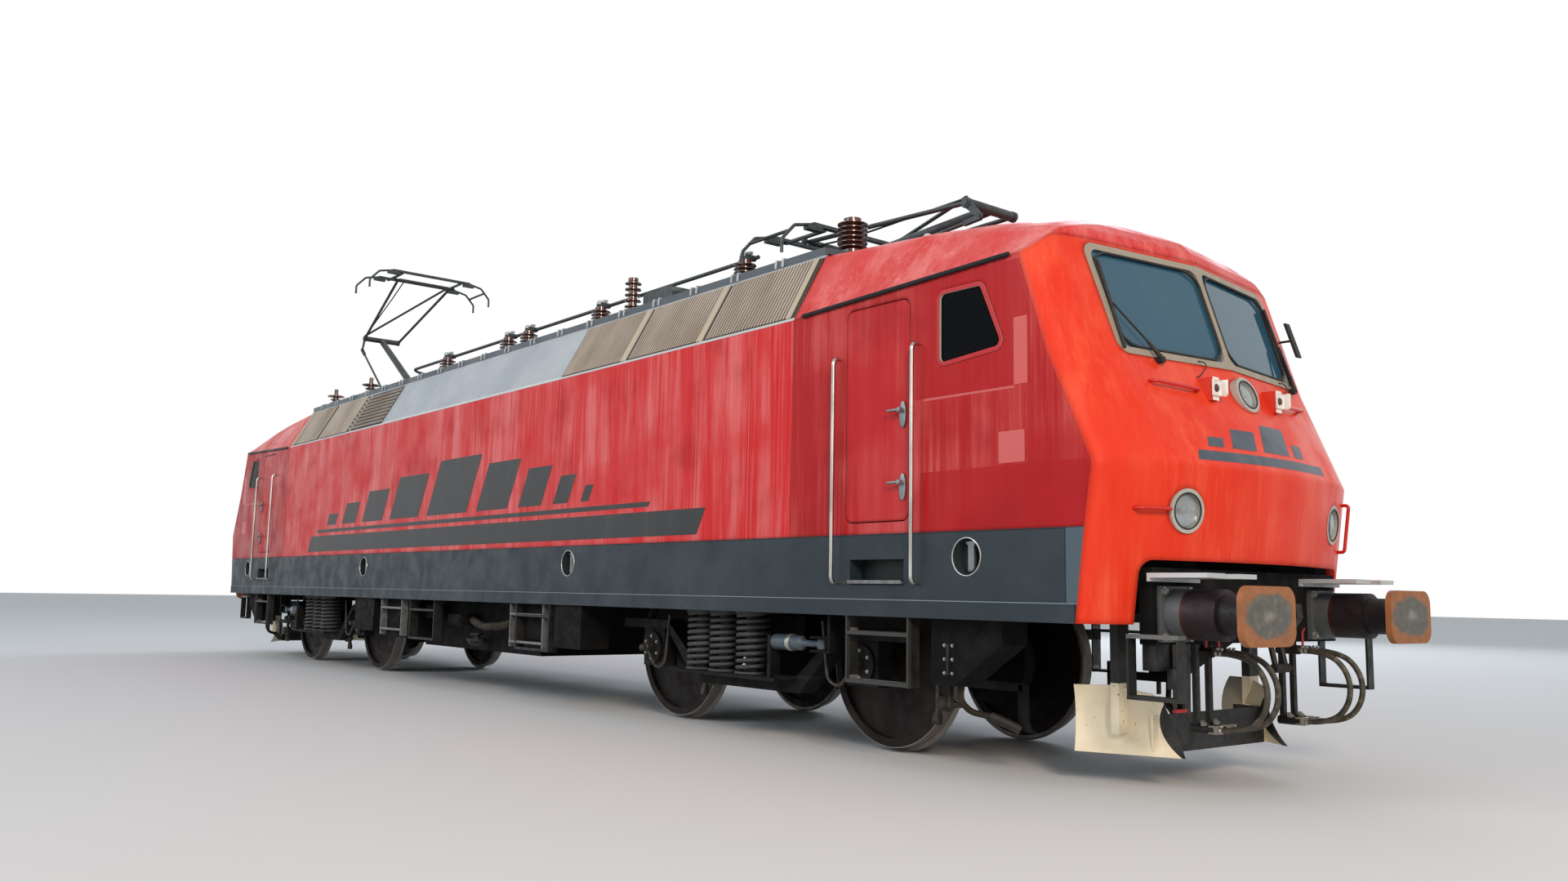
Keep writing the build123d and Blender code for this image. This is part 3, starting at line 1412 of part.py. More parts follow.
def control_rod(pin, lower_angle, end):
    """Rod from its pin under the base frame to an open fork beside the end of the control lever."""
    angle = rod_rest_angle + (lower_angle - raised_lower_angle) * rod_angle_ratio
    far_end = arm_point(pin, rod_length, angle, end)
    fork_foot = arm_point(pin, rod_length - rod_fork_depth, angle, end)
    y = -(knee_half_width + 25)
    shape = rod((pin[0], y - 17, pin[1]), (pin[0], y + 17, pin[1]), rod_eye_diameter)
    shape += rod((pin[0], y, pin[1]), (fork_foot[0], y, fork_foot[1]), rod_diameter)
    along = Vector(far_end[0] - pin[0], 0, far_end[1] - pin[1]).normalized()
    tip = Vector(far_end[0], 0, far_end[1]) + along * 22
    back = Vector(fork_foot[0], 0, fork_foot[1]) - along * 30
    across = Vector(along.Z, 0, -along.X) * 21
    outline = [(p.X, p.Z) for p in (back - across, tip - across, tip + across, back + across)]
    inner = control_lever_thickness / 2 + fork_side_gap
    outer = inner + fork_cheek_thickness
    for side in sides:
        shape += prism_y(outline, y + min(side * inner, side * outer), y + max(side * inner, side * outer))
    bridge = Vector(fork_foot[0], 0, fork_foot[1])
    block = [(p.X, p.Z) for p in (back - across, bridge - across, bridge + across, back + across)]
    shape += prism_y(block, y - outer, y + outer)
    return shape - rod((pin[0], y - 30, pin[1]), (pin[0], y + 30, pin[1]), rod_pin_diameter + pin_clearance)


def contact_head(top, tie_side):
    """Two contact strips with their horns, on carriers that turn on the head pin."""
    strip_z = top[1] + 75
    shape = None
    for direction in (-1, 1):
        x = top[0] + direction * head_strip_spacing / 2
        strip = box(x - 30, x + 30, -head_flat_half_width, head_flat_half_width, strip_z - 30, strip_z)
        for side in sides:
            horn_mid = side * (head_flat_half_width + 200)
            strip += bent_rod([(x, side * (head_flat_half_width - 10), strip_z - 15),
                               (x, horn_mid, strip_z - 60), (x, side * (head_half_width - 16), strip_z - 210),
                               (x, side * (head_half_width - 16), strip_z - head_horn_drop)], 30, 60)
            strip += box(x - 34, x + 34, side * 520, side * 690, strip_z - 72, strip_z - 30)
        shape = strip if shape is None else shape + strip
    tie_y = tie_side * (head_half_width - 95)
    tie_z = strip_z - 122
    shape += box(top[0] - head_strip_spacing / 2, top[0] + head_strip_spacing / 2, tie_y - 18, tie_y + 18,
                 tie_z - 8, tie_z + 8)
    for side in sides:
        y = side * (upper_top_half_width + 50)
        shape += box(top[0] - head_strip_spacing / 2, top[0] + head_strip_spacing / 2, y - 20, y + 20,
                     strip_z - 52, strip_z - 30)
        lug = rod((top[0], y - 8, top[1]), (top[0], y + 8, top[1]), head_pin_diameter + 34)
        lug += box(top[0] - 18, top[0] + 18, y - 8, y + 8, top[1], strip_z - 40)
        bore = rod((top[0], y - 20, top[1]), (top[0], y + 20, top[1]), head_pin_diameter + pin_clearance)
        shape += lug - bore
    return shape


def build_pantograph_bases():
    pieces = []
    pivot_z = rail_top + pantograph_pivot_height
    low = pivot_z - 110
    high = pivot_z - 60
    for end in ends:
        x = end * pantograph_base_x
        frame = box(x - 40, x + 40, -600, 600, low, high)
        for side in sides:
            frame += box(x - 450, x + 450, side * 560, side * 640, low, high)
            spring_z = pivot_z - 40
            frame += tapered_rod((x - end * 420, side * 110, spring_z), (x - end * 90, side * 110, spring_z),
                                 90, 60)
        frame += box(x - end * 400, x - end * 440, -600, 600, low, high)
        for side in sides:
            cheek = box(x - 50, x + 50, side * cheek_inner_y, side * (cheek_inner_y + 30), high - 20,
                        pivot_z + 50)
            frame += cheek - rod((x, side * 140, pivot_z), (x, side * 220, pivot_z),
                                 pivot_diameter + pin_clearance)
            for offset in (-400, 400):
                foot_z = seat_z_at(600, base_insulator_diameter)
                frame += insulator(x + offset, side * 600, foot_z, low - foot_z, 3, base_insulator_diameter)
        pin_x = x + end * rod_base_x
        pin_z = pivot_z - rod_base_drop
        pin_y = -(knee_half_width + 25)
        frame += box(pin_x - end * 90, pin_x - end * 50, -600, 600, low, high)
        for side in sides:
            near = pin_y + side * 20
            frame += box(pin_x - end * 90, pin_x + end * 20, near, near + side * 12, pin_z - 22, high)
        frame += rod((pin_x, pin_y - 32, pin_z), (pin_x, pin_y + 32, pin_z), rod_pin_diameter)
        pieces.append(frame)
    save("pantograph_bases", pieces)


# Cab inside
desk_rear_x = half_length - 1420
desk_half_width = half_width - 225
desk_top_height = 2350
seat_x = half_length - 1880
seat_y = 620
seat_half_width = 230
seat_pan_height = 350
seat_back_height = 1050
seat_sheet = 35


def build_cab_inside():
    cavity = cab_form(shell_thickness + 0.3)
    foot_x = desk_rear_x + 120
    desk_top_z = rail_top + desk_top_height
    desk = prism_y([(desk_rear_x, floor_z), (foot_x, floor_z), (foot_x, desk_top_z - 150),
                    (far_front_x, desk_top_z), (far_front_x, desk_top_z + 130),
                    (desk_rear_x + 520, desk_top_z + 130), (desk_rear_x, desk_top_z - 60)],
                   -desk_half_width, desk_half_width)
    desk = desk & cavity
    for bore in lamp_bores():
        desk -= bore
    save("driver_desks", for_ends([desk]))
    frames = []
    cushions = []
    x = seat_x
    pan_z = floor_z + seat_pan_height
    pan_top = pan_z + seat_sheet
    back_x = x - 270
    for y in (-seat_y, seat_y):
        pedestal = rod((x, y, floor_z), (x, y, pan_z), 120)
        pan = box(back_x, x + 230, y - seat_half_width, y + seat_half_width, pan_z, pan_top)
        shell = box(back_x, back_x + seat_sheet, y - 215, y + 215, pan_z, floor_z + seat_back_height)
        frames.append(pedestal + pan + shell)
        cushions.append(box(x - 215, x + 235, y - 225, y + 225, pan_top + seat_gap, pan_z + 130))
        cushions.append(box(back_x + seat_sheet + seat_gap, x - 145, y - 215, y + 215, pan_z + 135,
                            floor_z + seat_back_height + 10))
    save("seat_frames", for_ends(frames))
    save("seat_cushions", for_ends(cushions))


sand_rear_x = half_length - 2153
sand_front_x = half_length - 1540
sand_bottom = rail_top + 548
sand_bottom_length = 203
sand_front_z = rail_top + 830
gutter_rear_x = half_length - 3397
gutter_front_x = half_length - 1360

tank_half_length = 1500
tank_half_width = half_width - 395
tank_bottom = 430
side_box_bottom = 571
side_boxes = ((2440, 2960), (-2960, -2300))


def build_underfloor():
    tank = box(-tank_half_length, tank_half_length, -tank_half_width, tank_half_width, rail_top + tank_bottom,
               floor_z - floor_thickness - seat_gap)
    save("transformer_tank", [tank])
    boxes = []
    for side in sides:
        for x0, x1 in side_boxes:
            boxes.append(box(x0, x1, side * (tank_half_width + 60), side * (half_width - 20),
                             rail_top + side_box_bottom, sill_bottom - seat_gap))
    sand = []
    for side in sides:
        outer = side * (half_width - 115)
        inner = side * (half_width - 365)
        top = sill_bottom - seat_gap
        sand.append(prism_y([(sand_rear_x, top), (sand_rear_x, sand_bottom),
                             (sand_rear_x + sand_bottom_length, sand_bottom), (sand_front_x, sand_front_z),
                             (sand_front_x, top)], min(outer, inner), max(outer, inner)))
    save("underfloor_equipment", boxes + for_ends(sand + damper_brackets()))


def damper_brackets():
    """Forks under the sills that the outer eyes of the yaw dampers swing in."""
    forks = []
    x = bogie_spacing / 2 + damper_eye_offset
    z = rail_top + damper_height
    gap = damper_eye_height / 2 + moving_clearance
    for side in sides:
        inner = side * (damper_y - fork_lip)
        outer = side * (damper_y + fork_lip)
        web_x = x + fork_reach
        low = z - gap - fork_plate
        fork = box(web_x, web_x + 2 * fork_plate, inner, outer, low, sill_bottom - seat_gap)
        fork += box(x - fork_lip, web_x, inner, outer, z + gap, z + gap + fork_plate)
        fork += box(x - fork_lip, web_x, inner, outer, low, z - gap)
        forks.append(fork)
    return forks


def gutter(side):
    """Rain strip along the eaves of the cab."""
    low = rail_top + 3227
    rise = 67
    wall = side * half_width
    start = Vector(gutter_rear_x, wall, low)
    stop = Vector(gutter_front_x, wall, low + rise)
    up = Vector(0, 0, 26)
    face = make_face(Polyline([start, stop, stop + up, start + up], close=True))
    return extrude(face, amount=22, dir=(0, side, 0))


def main():
    os.makedirs("parts", exist_ok=True)
    build_floor()
    build_solebars()
    build_cross_beams()
    build_side_walls()
    build_cab_sides()
    build_cab_fronts()
    build_cab_roofs()
    build_bulkheads()
    build_window_frames_and_glass()
    build_roof()
    build_doors()
    build_rails()
    build_buffers()
    build_coupling()
    build_hoses()
    build_front_steps()
    build_rail_guards()
    build_lamps()
    build_wipers_and_mirrors()
    build_underfloor()
    build_cab_inside()
    build_roof_gear()
    for end, number in ((1, 1), (-1, 2)):
        build_bogie(end, number)
    for index, (end, offset) in enumerate(((1, 1), (1, -1), (-1, -1), (-1, 1))):
        x = end * bogie_spacing / 2 + end * offset * bogie_wheelbase / 2
        save("wheelset_" + str(index + 1), [wheelset(x)])
    folded_upper = raised_upper_angle - (raised_lower_angle - folded_lower_angle) * 0.676
    build_pantograph(1, 1, folded_lower_angle, folded_upper)
    build_pantograph(-1, 2, raised_lower_angle, raised_upper_angle)
    build_pantograph_bases()


main()
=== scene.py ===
# %% [markdown]
# # An electric locomotive, dressed in Blender
# The solids of the locomotive come from a CAD file. This lesson gives them their paint, glass, rubber and
# dirt, and adds the small things that a CAD model leaves out. One metre in the scene is one metre in life.
# +X runs along the vehicle to cab 1, -Y is the side that faces the camera and +Z is up.

# %% Load the frame
import math

import bpy
from mathutils import Matrix, Vector


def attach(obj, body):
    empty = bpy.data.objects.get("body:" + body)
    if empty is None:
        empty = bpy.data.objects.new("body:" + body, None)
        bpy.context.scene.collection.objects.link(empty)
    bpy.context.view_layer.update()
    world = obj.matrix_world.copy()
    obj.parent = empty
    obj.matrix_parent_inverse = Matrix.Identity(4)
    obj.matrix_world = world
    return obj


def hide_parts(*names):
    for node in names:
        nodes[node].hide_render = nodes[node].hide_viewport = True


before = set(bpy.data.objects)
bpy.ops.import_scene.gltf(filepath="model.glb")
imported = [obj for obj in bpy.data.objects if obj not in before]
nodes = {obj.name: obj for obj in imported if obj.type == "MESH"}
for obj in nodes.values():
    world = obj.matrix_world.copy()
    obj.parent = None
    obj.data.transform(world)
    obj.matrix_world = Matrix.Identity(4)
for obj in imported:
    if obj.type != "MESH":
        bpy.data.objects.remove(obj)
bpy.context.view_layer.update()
bpy.context.scene.view_settings.view_transform = "Standard"

# %% Places that the CAD model fixes
# Number and direction of each end, which its cab, bogie and pantograph share
vehicle_ends = ((1, 1), (2, -1))
bogie_x = 5.10
half_wheelbase = 1.40
axle_xs = (3.70, 6.50)
axle_z = 0.655
body_half_width = 1.475
print("bogies at", bogie_x, "and", -bogie_x)

# %% [markdown]
# ## The camera
# A 28 mm lens on a 36 mm sensor gives the wide view of someone who stands close to the nose. The camera is
# turned a little to the left of the vehicle's middle, tilted up by 7 degrees and rolled by 1 degree. Its
# three axes are worked out from those angles, which is easier to check than a rotation found by hand.

# %% Make the camera
camera_place = Vector((13.2240, -7.3551, 1.1616))
camera_yaw = math.radians(140.9)
camera_pitch = math.radians(7.13)
camera_roll = math.radians(1.0)
ahead = Vector((math.cos(camera_yaw) * math.cos(camera_pitch),
                math.sin(camera_yaw) * math.cos(camera_pitch), math.sin(camera_pitch)))
level_right = Vector((math.sin(camera_yaw), -math.cos(camera_yaw), 0))
level_up = level_right.cross(ahead)
right = level_right * math.cos(camera_roll) + level_up * math.sin(camera_roll)
up = level_up * math.cos(camera_roll) - level_right * math.sin(camera_roll)
camera_data = bpy.data.cameras.new("camera")
camera_data.lens = 28
camera_data.sensor_width = 36
camera_data.clip_end = 300
camera = bpy.data.objects.new("camera", camera_data)
bpy.context.scene.collection.objects.link(camera)
camera.matrix_world = Matrix.Translation(camera_place) @ Matrix((right, up, -ahead)).transposed().to_4x4()
bpy.context.scene.camera = camera
print("camera at", tuple(camera_place))

# %% [markdown]
# ## Small tools for materials
# Colours are written as the sRGB hex values of a paint chart, and one function turns them into the linear
# values that the renderer works in. One function adds a shader node with its settings and its links. Its
# settings are either names of inputs or names of properties, so it serves every kind of node.

# %% Colour and node helpers
def linear(hex_text):
    """Turns an sRGB hex colour into linear red, green and blue, and a full alpha."""
    values = [int(hex_text[i:i + 2], 16) / 255 for i in (1, 3, 5)]
    return [v / 12.92 if v <= 0.04045 else ((v + 0.055) / 1.055) ** 2.4 for v in values] + [1.0]


def set_or_link(tree, socket, value):
    """Gives an input a number or a hex colour, or else links another node's output to it."""
    if isinstance(value, str):
        socket.default_value = linear(value)
    elif isinstance(value, (int, float)):
        socket.default_value = value
    else:
        tree.links.new(value, socket)


def add(tree, kind, settings=None, links=None):
    """Adds a node. A setting is an input's name or number, or else a property; a link goes to an input."""
    made = tree.nodes.new(kind)
    for key, value in (settings or {}).items():
        if isinstance(key, int) or key in made.inputs:
            made.inputs[key].default_value = value
        else:
            setattr(made, key, value)
    for key, socket in (links or {}).items():
        tree.links.new(socket, made.inputs[key])
    return made


def new_material(name, **settings):
    """A material with a Principled shader, and its object coordinates in metres."""
    made = bpy.data.materials.new(name)
    made.use_nodes = True
    tree = made.node_tree
    shader = tree.nodes["Principled BSDF"]
    feed(tree, shader, **settings)
    place = add(tree, "ShaderNodeTexCoord").outputs["Object"]
    print("material", name)
    return made, tree, shader, place


def feed(tree, shader, **values):
    """Sets or links inputs of the shader, whose names are written with underscores."""
    for key, value in values.items():
        set_or_link(tree, shader.inputs[key.replace("_", " ")], value)


def opened(made):
    """A finished material's tree, its shader, the colour that it has so far, and its object coordinates."""
    tree = made.node_tree
    shader = tree.nodes["Principled BSDF"]
    colour = shader.inputs["Base Color"].links[0].from_socket
    return tree, shader, colour, add(tree, "ShaderNodeTexCoord").outputs["Object"]


def noise(tree, place, size, detail=3.0, stretch=(1, 1, 1), roughness=0.55):
    """Cloudy pattern whose blotches are about size metres wide, drawn out along the axes by stretch."""
    scaled = add(tree, "ShaderNodeMapping", {"Scale": [1 / (size * s) for s in stretch]}, {"Vector": place})
    made = add(tree, "ShaderNodeTexNoise", {"Scale": 1.0, "Detail": detail, "Roughness": roughness},
               {"Vector": scaled.outputs["Vector"]})
    return made.outputs["Fac"]


def ramp(tree, value, stops):
    """Turns a value into the colours at stops, a list of (position, hex colour)."""
    made = add(tree, "ShaderNodeValToRGB", None, {"Fac": value})
    while len(made.color_ramp.elements) < len(stops):
        made.color_ramp.elements.new(0.5)
    for element, (position, colour) in zip(made.color_ramp.elements, stops):
        element.position = position
        element.color = linear(colour)
    return made.outputs["Color"]


def clouded(name, stops, size, detail, stretch=(1, 1, 1), **settings):
    """A material whose colour is a cloudy pattern of the colours at stops."""
    made, tree, shader, place = new_material(name, **settings)
    feed(tree, shader, Base_Color=ramp(tree, noise(tree, place, size, detail, stretch), stops))
    return made, tree, shader, place


def step(tree, value, low, high, to_low=0.0, to_high=1.0):
    """Maps low..high of a value to to_low..to_high, softened at both ends."""
    made = add(tree, "ShaderNodeMapRange", {"interpolation_type": "SMOOTHSTEP", "From Min": low,
                                            "From Max": high, "To Min": to_low, "To Max": to_high},
               {"Value": value})
    return made.outputs["Result"]


def calculate(tree, operation, first, second=0.0):
    """A Math node between two values, each of them a socket or a number."""
    made = add(tree, "ShaderNodeMath", {"operation": operation})
    set_or_link(tree, made.inputs[0], first)
    set_or_link(tree, made.inputs[1], second)
    return made.outputs["Value"]


def times(tree, first, second):
    return calculate(tree, "MULTIPLY", first, second)


def less(tree, first, second):
    return calculate(tree, "SUBTRACT", first, second)


def beyond(tree, value, distance):
    """How far a coordinate lies outside a distance from the middle, on either side."""
    return less(tree, calculate(tree, "ABSOLUTE", value), distance)


def radius_of(tree, first, second):
    """The distance from a point, out of the distances along two axes."""
    squares = calculate(tree, "ADD", times(tree, first, first), times(tree, second, second))
    return calculate(tree, "POWER", squares, 0.5)


def mix(tree, amount, first, second):
    """Mixes two colours, each of them a socket or a hex value."""
    made = add(tree, "ShaderNodeMix", {"data_type": "RGBA"})
    set_or_link(tree, made.inputs["Factor"], amount)
    for socket, value in zip([s for s in made.inputs if s.type == "RGBA"], (first, second)):
        set_or_link(tree, socket, value)
    return [s for s in made.outputs if s.type == "RGBA"][0]


def bump(tree, shader, height, strength, distance):
    """Feeds a height into the shader's normal. The distance is the pattern's depth in metres."""
    made = add(tree, "ShaderNodeBump", {"Strength": strength, "Distance": distance}, {"Height": height})
    feed(tree, shader, Normal=made.outputs["Normal"])
    return made


def axes(tree, place):
    """The x, y and z of a place, as three sockets."""
    return add(tree, "ShaderNodeSeparateXYZ", None, {"Vector": place}).outputs


# %% [markdown]
# ## The brake hoses
# Two brake hoses hang on each side of the coupling at each end. Each is just under a metre of black rubber
# that bows out from the upper cock and comes back to its holder below, stiff enough to keep an even curve. A
# NURBS curve is the natural choice: it runs smoothly past its few control points.

# %% Hose rubber
hose_rubber, tree, shader, place = clouded(
    "vulcanised_rubber_hose", [(0.35, "#2B2822"), (0.55, "#443E33"), (0.7, "#6B6252")], 0.05, 4,
    Roughness=0.62)
bump(tree, shader, noise(tree, place, 0.004, 2), 0.25, 0.001)

# %% Hose routes
hose_exit_x = 9.060
hose_top = 0.850
hose_bottom = 0.390
hose_far_x = 9.390
hose_corner = 0.134731
hose_radius = 0.018
# Half the spacing of a pair of hoses, how much further the hose reaches, and its length
hose_kinds = [(0.440, 0.0, 0.927), (0.580, 0.012, 0.951)]


def hose_route(end, y, reach):
    """The control points of a hose, as in the CAD source."""
    far_x = hose_far_x + reach
    turn_x = far_x - hose_corner
    points = [(hose_exit_x, hose_top), (turn_x, hose_top), (far_x, hose_top - hose_corner),
              (far_x, hose_bottom + hose_corner), (turn_x, hose_bottom), (hose_exit_x, hose_bottom)]
    return [(end * x, y, z) for x, z in points]


def round_curve(name, kind, points, radius, fineness):
    """A curve of one open spline with a round section."""
    data = bpy.data.curves.new(name, "CURVE")
    data.dimensions = "3D"
    data.bevel_depth = radius
    data.bevel_resolution = fineness
    spline = data.splines.new(kind)
    spline.points.add(len(points) - 1)
    for point, spot in zip(spline.points, points):
        point.co = (*spot, 1)
    made = bpy.data.objects.new(name, data)
    bpy.context.scene.collection.objects.link(made)
    return made


hose_rows = [(end, side * half_spacing, reach, length) for end in (1, -1) for side in (1, -1)
             for half_spacing, reach, length in hose_kinds]
for number, (end, y, reach, length) in enumerate(hose_rows, 1):
    route = hose_route(end, y, reach)
    hose = round_curve("rubber_hose_%d" % number, "NURBS", route, hose_radius, 3)
    spline = hose.data.splines[0]
    spline.order_u = 3
    spline.use_endpoint_u = True
    spline.resolution_u = 12
    hose.data.materials.append(hose_rubber)
    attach(hose, "carbody")
    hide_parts("brake_hose_%d" % number)
print(len(hose_rows), "hoses")

# %% [markdown]
# ## Floor, sky and lamps
# The locomotive stands on a plain pale floor. The world is white to the camera and in reflections, and a
# softer grey for everything that it lights. A large warm lamp stands in for a low sun on the nose, a larger
# cool one fills the side, and a third lights the side that faces away.

# %% Floor
bpy.ops.mesh.primitive_plane_add(size=240)
floor = bpy.context.object
floor.name = "floor"
floor.data.materials.append(new_material("pale_studio_floor", Roughness=0.9, Base_Color="#DEDCD8")[0])

# %% World
world = bpy.data.worlds.new("studio")
bpy.context.scene.world = world
world.use_nodes = True
tree = world.node_tree
tree.nodes.clear()
rays = add(tree, "ShaderNodeLightPath").outputs
seen = calculate(tree, "MAXIMUM", rays["Is Camera Ray"],
                 calculate(tree, "MAXIMUM", rays["Is Glossy Ray"], rays["Is Transmission Ray"]))
light_sky = add(tree, "ShaderNodeBackground", {"Color": linear("#DCE8F4"), "Strength": 0.62})
seen_sky = add(tree, "ShaderNodeBackground", {"Color": linear("#FFFFFF"), "Strength": 1.0})
both = add(tree, "ShaderNodeMixShader", None, {0: seen, 1: light_sky.outputs[0], 2: seen_sky.outputs[0]})
add(tree, "ShaderNodeOutputWorld", None, {"Surface": both.outputs[0]})
print("world", world.name)


# %% Lamps
def area_lamp(name, at, towards, size, power, colour):
    """A round lamp that shines from one place towards another."""
    data = bpy.data.lights.new(name, "AREA")
    data.shape = "DISK"
    data.size = size
    data.energy = power
    data.color = linear(colour)[:3]
    made = bpy.data.objects.new(name, data)
    bpy.context.scene.collection.objects.link(made)
    made.location = at
    made.rotation_mode = "QUATERNION"
    made.rotation_quaternion = (Vector(towards) - Vector(at)).to_track_quat("-Z", "Y")
    print("lamp", name, "of", power, "W")


area_lamp("sun_side", (26, -13, 11), (7, 0, 2), 6, 3300, "#FFEBD6")
area_lamp("sky_side", (-2, -26, 16), (0, 0, 1.5), 16, 2500, "#E6F0FF")
area_lamp("far_side", (-8, 24, 14), (0, 0, 2), 14, 2200, "#EAF1FF")

# %% [markdown]
# ## Red body enamel
# The body is steel sheet in a red two-pack enamel that has stood outdoors for years. Rain has drawn pale
# chalky streaks down it from the roof joint, and dust has dulled it near the sill. The streaks are a noise
# that is drawn out along Z. On the cab ends the same enamel is cleaner, and a little more orange as painted
# sunlight. The cab sides and doors are a darker red, partly as painted shade.

# %% Masks and repainted places
def near_lines(tree, value, places, half_width):
    """1 within half_width of each of the places along a coordinate, and 0 elsewhere."""
    found = 0.0
    for one in places:
        gap = calculate(tree, "ABSOLUTE", less(tree, value, one))
        found = calculate(tree, "MAXIMUM", calculate(tree, "LESS_THAN", gap, half_width), found)
    return found


def box_mask(tree, place, **ranges):
    """1 inside the ranges and 0 outside. X and Y are distances from the middle; x and y keep their sign."""
    xyz = axes(tree, place)
    found = 1.0
    for axis, (low, high) in ranges.items():
        value = xyz[axis.upper()]
        if axis in ("X", "Y"):
            value = calculate(tree, "ABSOLUTE", value)
        found = times(tree, calculate(tree, "GREATER_THAN", value, low), found)
        found = times(tree, calculate(tree, "LESS_THAN", value, high), found)
    return found


def repaint(made, colour, **ranges):
    """Paints what lies inside the ranges in another colour."""
    tree, shader, before, place = opened(made)
    feed(tree, shader, Base_Color=mix(tree, box_mask(tree, place, **ranges), before, colour))


# %% Side and nose paint
def red_enamel(name, fresh, faded, dark, wash_share, seams=(), fresh_boxes=(), soft_radius=0.035):
    """Enamel with chalky rain streaks. Boxes (x from, x to, z from, z to) were painted anew."""
    made, tree, shader, place = new_material(name, Specular_IOR_Level=0.2, Coat_Weight=0.05,
                                             Coat_Roughness=0.15)
    fine = noise(tree, place, 0.035, 4, (1.0, 1.0, 40.0), 0.7)
    broad = noise(tree, place, 0.22, 4, (1.0, 1.0, 9.0), 0.6)
    patches = noise(tree, place, 1.1, 3, (1.4, 1.0, 0.8))
    thin_streaks = step(tree, fine, 0.45, 0.75, 0.0, 0.55)
    wide_streaks = step(tree, broad, 0.4, 0.68, 0.0, 0.7)
    wash = calculate(tree, "ADD", thin_streaks, wide_streaks)
    wash = times(tree, wash, step(tree, patches, 0.36, 0.56, 0.25, 1.0))
    wash = times(tree, wash, wash_share)
    for x0, x1, z0, z1 in fresh_boxes:
        anew = box_mask(tree, place, X=(x0, x1), Z=(z0, z1))
        wash = times(tree, wash, less(tree, 1.0, times(tree, anew, 0.8)))
    colour = mix(tree, wash, fresh, faded)
    colour = mix(tree, step(tree, noise(tree, place, 0.7, 3), 0.5, 0.75, 0.0, 0.5), colour, dark)
    if seams:
        along = axes(tree, place)["X"]
        colour = mix(tree, times(tree, near_lines(tree, along, seams, 0.004), 0.75), colour, dark)
        edges = near_lines(tree, calculate(tree, "ADD", along, 0.011), seams, 0.006)
        colour = mix(tree, times(tree, edges, 0.35), colour, "#E4857F")
    dull_areas = step(tree, noise(tree, place, 0.35, 4), 0.35, 0.7, 0.3, 0.5)
    feed(tree, shader, Base_Color=colour, Roughness=dull_areas)
    soft_edge = add(tree, "ShaderNodeBevel", {"Radius": soft_radius, "samples": 4})
    made_bump = bump(tree, shader, noise(tree, place, 0.5, 2), 0.06, 0.01)
    tree.links.new(soft_edge.outputs["Normal"], made_bump.inputs["Normal"])
    return made


body_seams = (-4.86, -3.54, -2.34, 0.55, 2.43, 4.82, 5.55)
fresh_patches = [(7.40, 8.40, 2.485, 3.30), (7.45, 9.20, 1.55, 1.985)]
side_enamel = red_enamel("sun_faded_red_enamel", "#CC1518", "#E07370", "#A01016", 0.95, body_seams)
# The cab side red is darker than the side: partly fresh patches of paint, partly painted shade
cab_side_enamel = red_enamel("patched_and_shaded_red_cab_enamel", "#A90B10", "#D4605C", "#8A080D", 0.85,
                             fresh_boxes=fresh_patches)
# The nose red is cleaner enamel, made more orange as painted warm sunlight
nose_enamel = red_enamel("orange_red_nose_enamel_painted_sunlight", "#E03418", "#F06C48", "#CE2814", 0.5,
                         soft_radius=0.06)
roof_enamel = red_enamel("weathered_red_roof_enamel", "#D02C28", "#E87A74", "#B01E1D", 0.95,
                         soft_radius=0.06)
# The door red is darker than the side as painted shade
door_enamel = red_enamel("red_door_enamel", "#B41118", "#CC504C", "#930E14", 0.65)
# Two rectangles and a thin line of the enamel are paler and duller than the rest
cab_skin = (1.3, 1.6)
repaint(cab_side_enamel, "#CC605C", X=(8.268, 8.376), Z=(2.49, 2.92), Y=cab_skin)
repaint(cab_side_enamel, "#C9625F", X=(8.140, 8.350), Z=(2.00, 2.20), Y=cab_skin)
repaint(cab_side_enamel, "#C4605C", X=(7.474, 8.268), Z=(2.47, 2.485), Y=cab_skin)
# The gutter over the cab side is black rubber
repaint(cab_side_enamel, "#141516", Y=(1.4765, 1.6), Z=(3.05, 3.5))

# %% [markdown]
# ## Sill, frame and roof greys
# The sill is slate grey with brake dust and rain marks. The underframe and bogies are black paint under a
# coat of rust-brown dust, thickest low down and where oil has held it. The roof panels are a pale grey.

# %% Painted and dusty metals
def dusty_paint(name, colour, dust, rust, roughness=0.6, dust_share=0.5, grain=0.12, metallic=0.0,
                specular=0.5):
    """Flat paint under dust that gathers in cloudy patches, with small rusty chips."""
    made, tree, shader, place = new_material(name, Metallic=metallic, Specular_IOR_Level=specular)
    clouds = step(tree, noise(tree, place, grain * 3, 5), 0.38, 0.68, 0.0, dust_share)
    chips = step(tree, noise(tree, place, grain * 0.35, 5, (1, 1, 1), 0.7), 0.62, 0.7)
    feed(tree, shader, Base_Color=mix(tree, chips, mix(tree, clouds, colour, dust), rust),
         Roughness=step(tree, noise(tree, place, grain, 3), 0.3, 0.7, roughness - 0.1, roughness + 0.15))
    bump(tree, shader, noise(tree, place, grain * 0.25, 4), 0.15, 0.002)
    return made


# Slate grey enamel with a dark line on top; painted shade darkens the door recess, the pale line at the
# foot is a painted highlight, and the paler corner at the nose is painted sunlight
sill_paint = dusty_paint("slate_grey_sill_enamel", "#242F36", "#3C4548", "#33393A", 0.45, 0.45, 0.25,
                         specular=0.3)
repaint(sill_paint, "#0E1316", X=(6.76, 7.295), Y=(1.0, 1.472), Z=(1.20, 1.45))
repaint(sill_paint, "#161C21", Z=(1.574, 1.5835))
repaint(sill_paint, "#7C8B93", Z=(1.129, 1.1345))
repaint(sill_paint, "#4C5A63", Z=(1.134, 1.58), X=(8.655, 8.9))
repaint(sill_paint, "#12181D", Z=(1.134, 1.58), X=(8.646, 8.655))
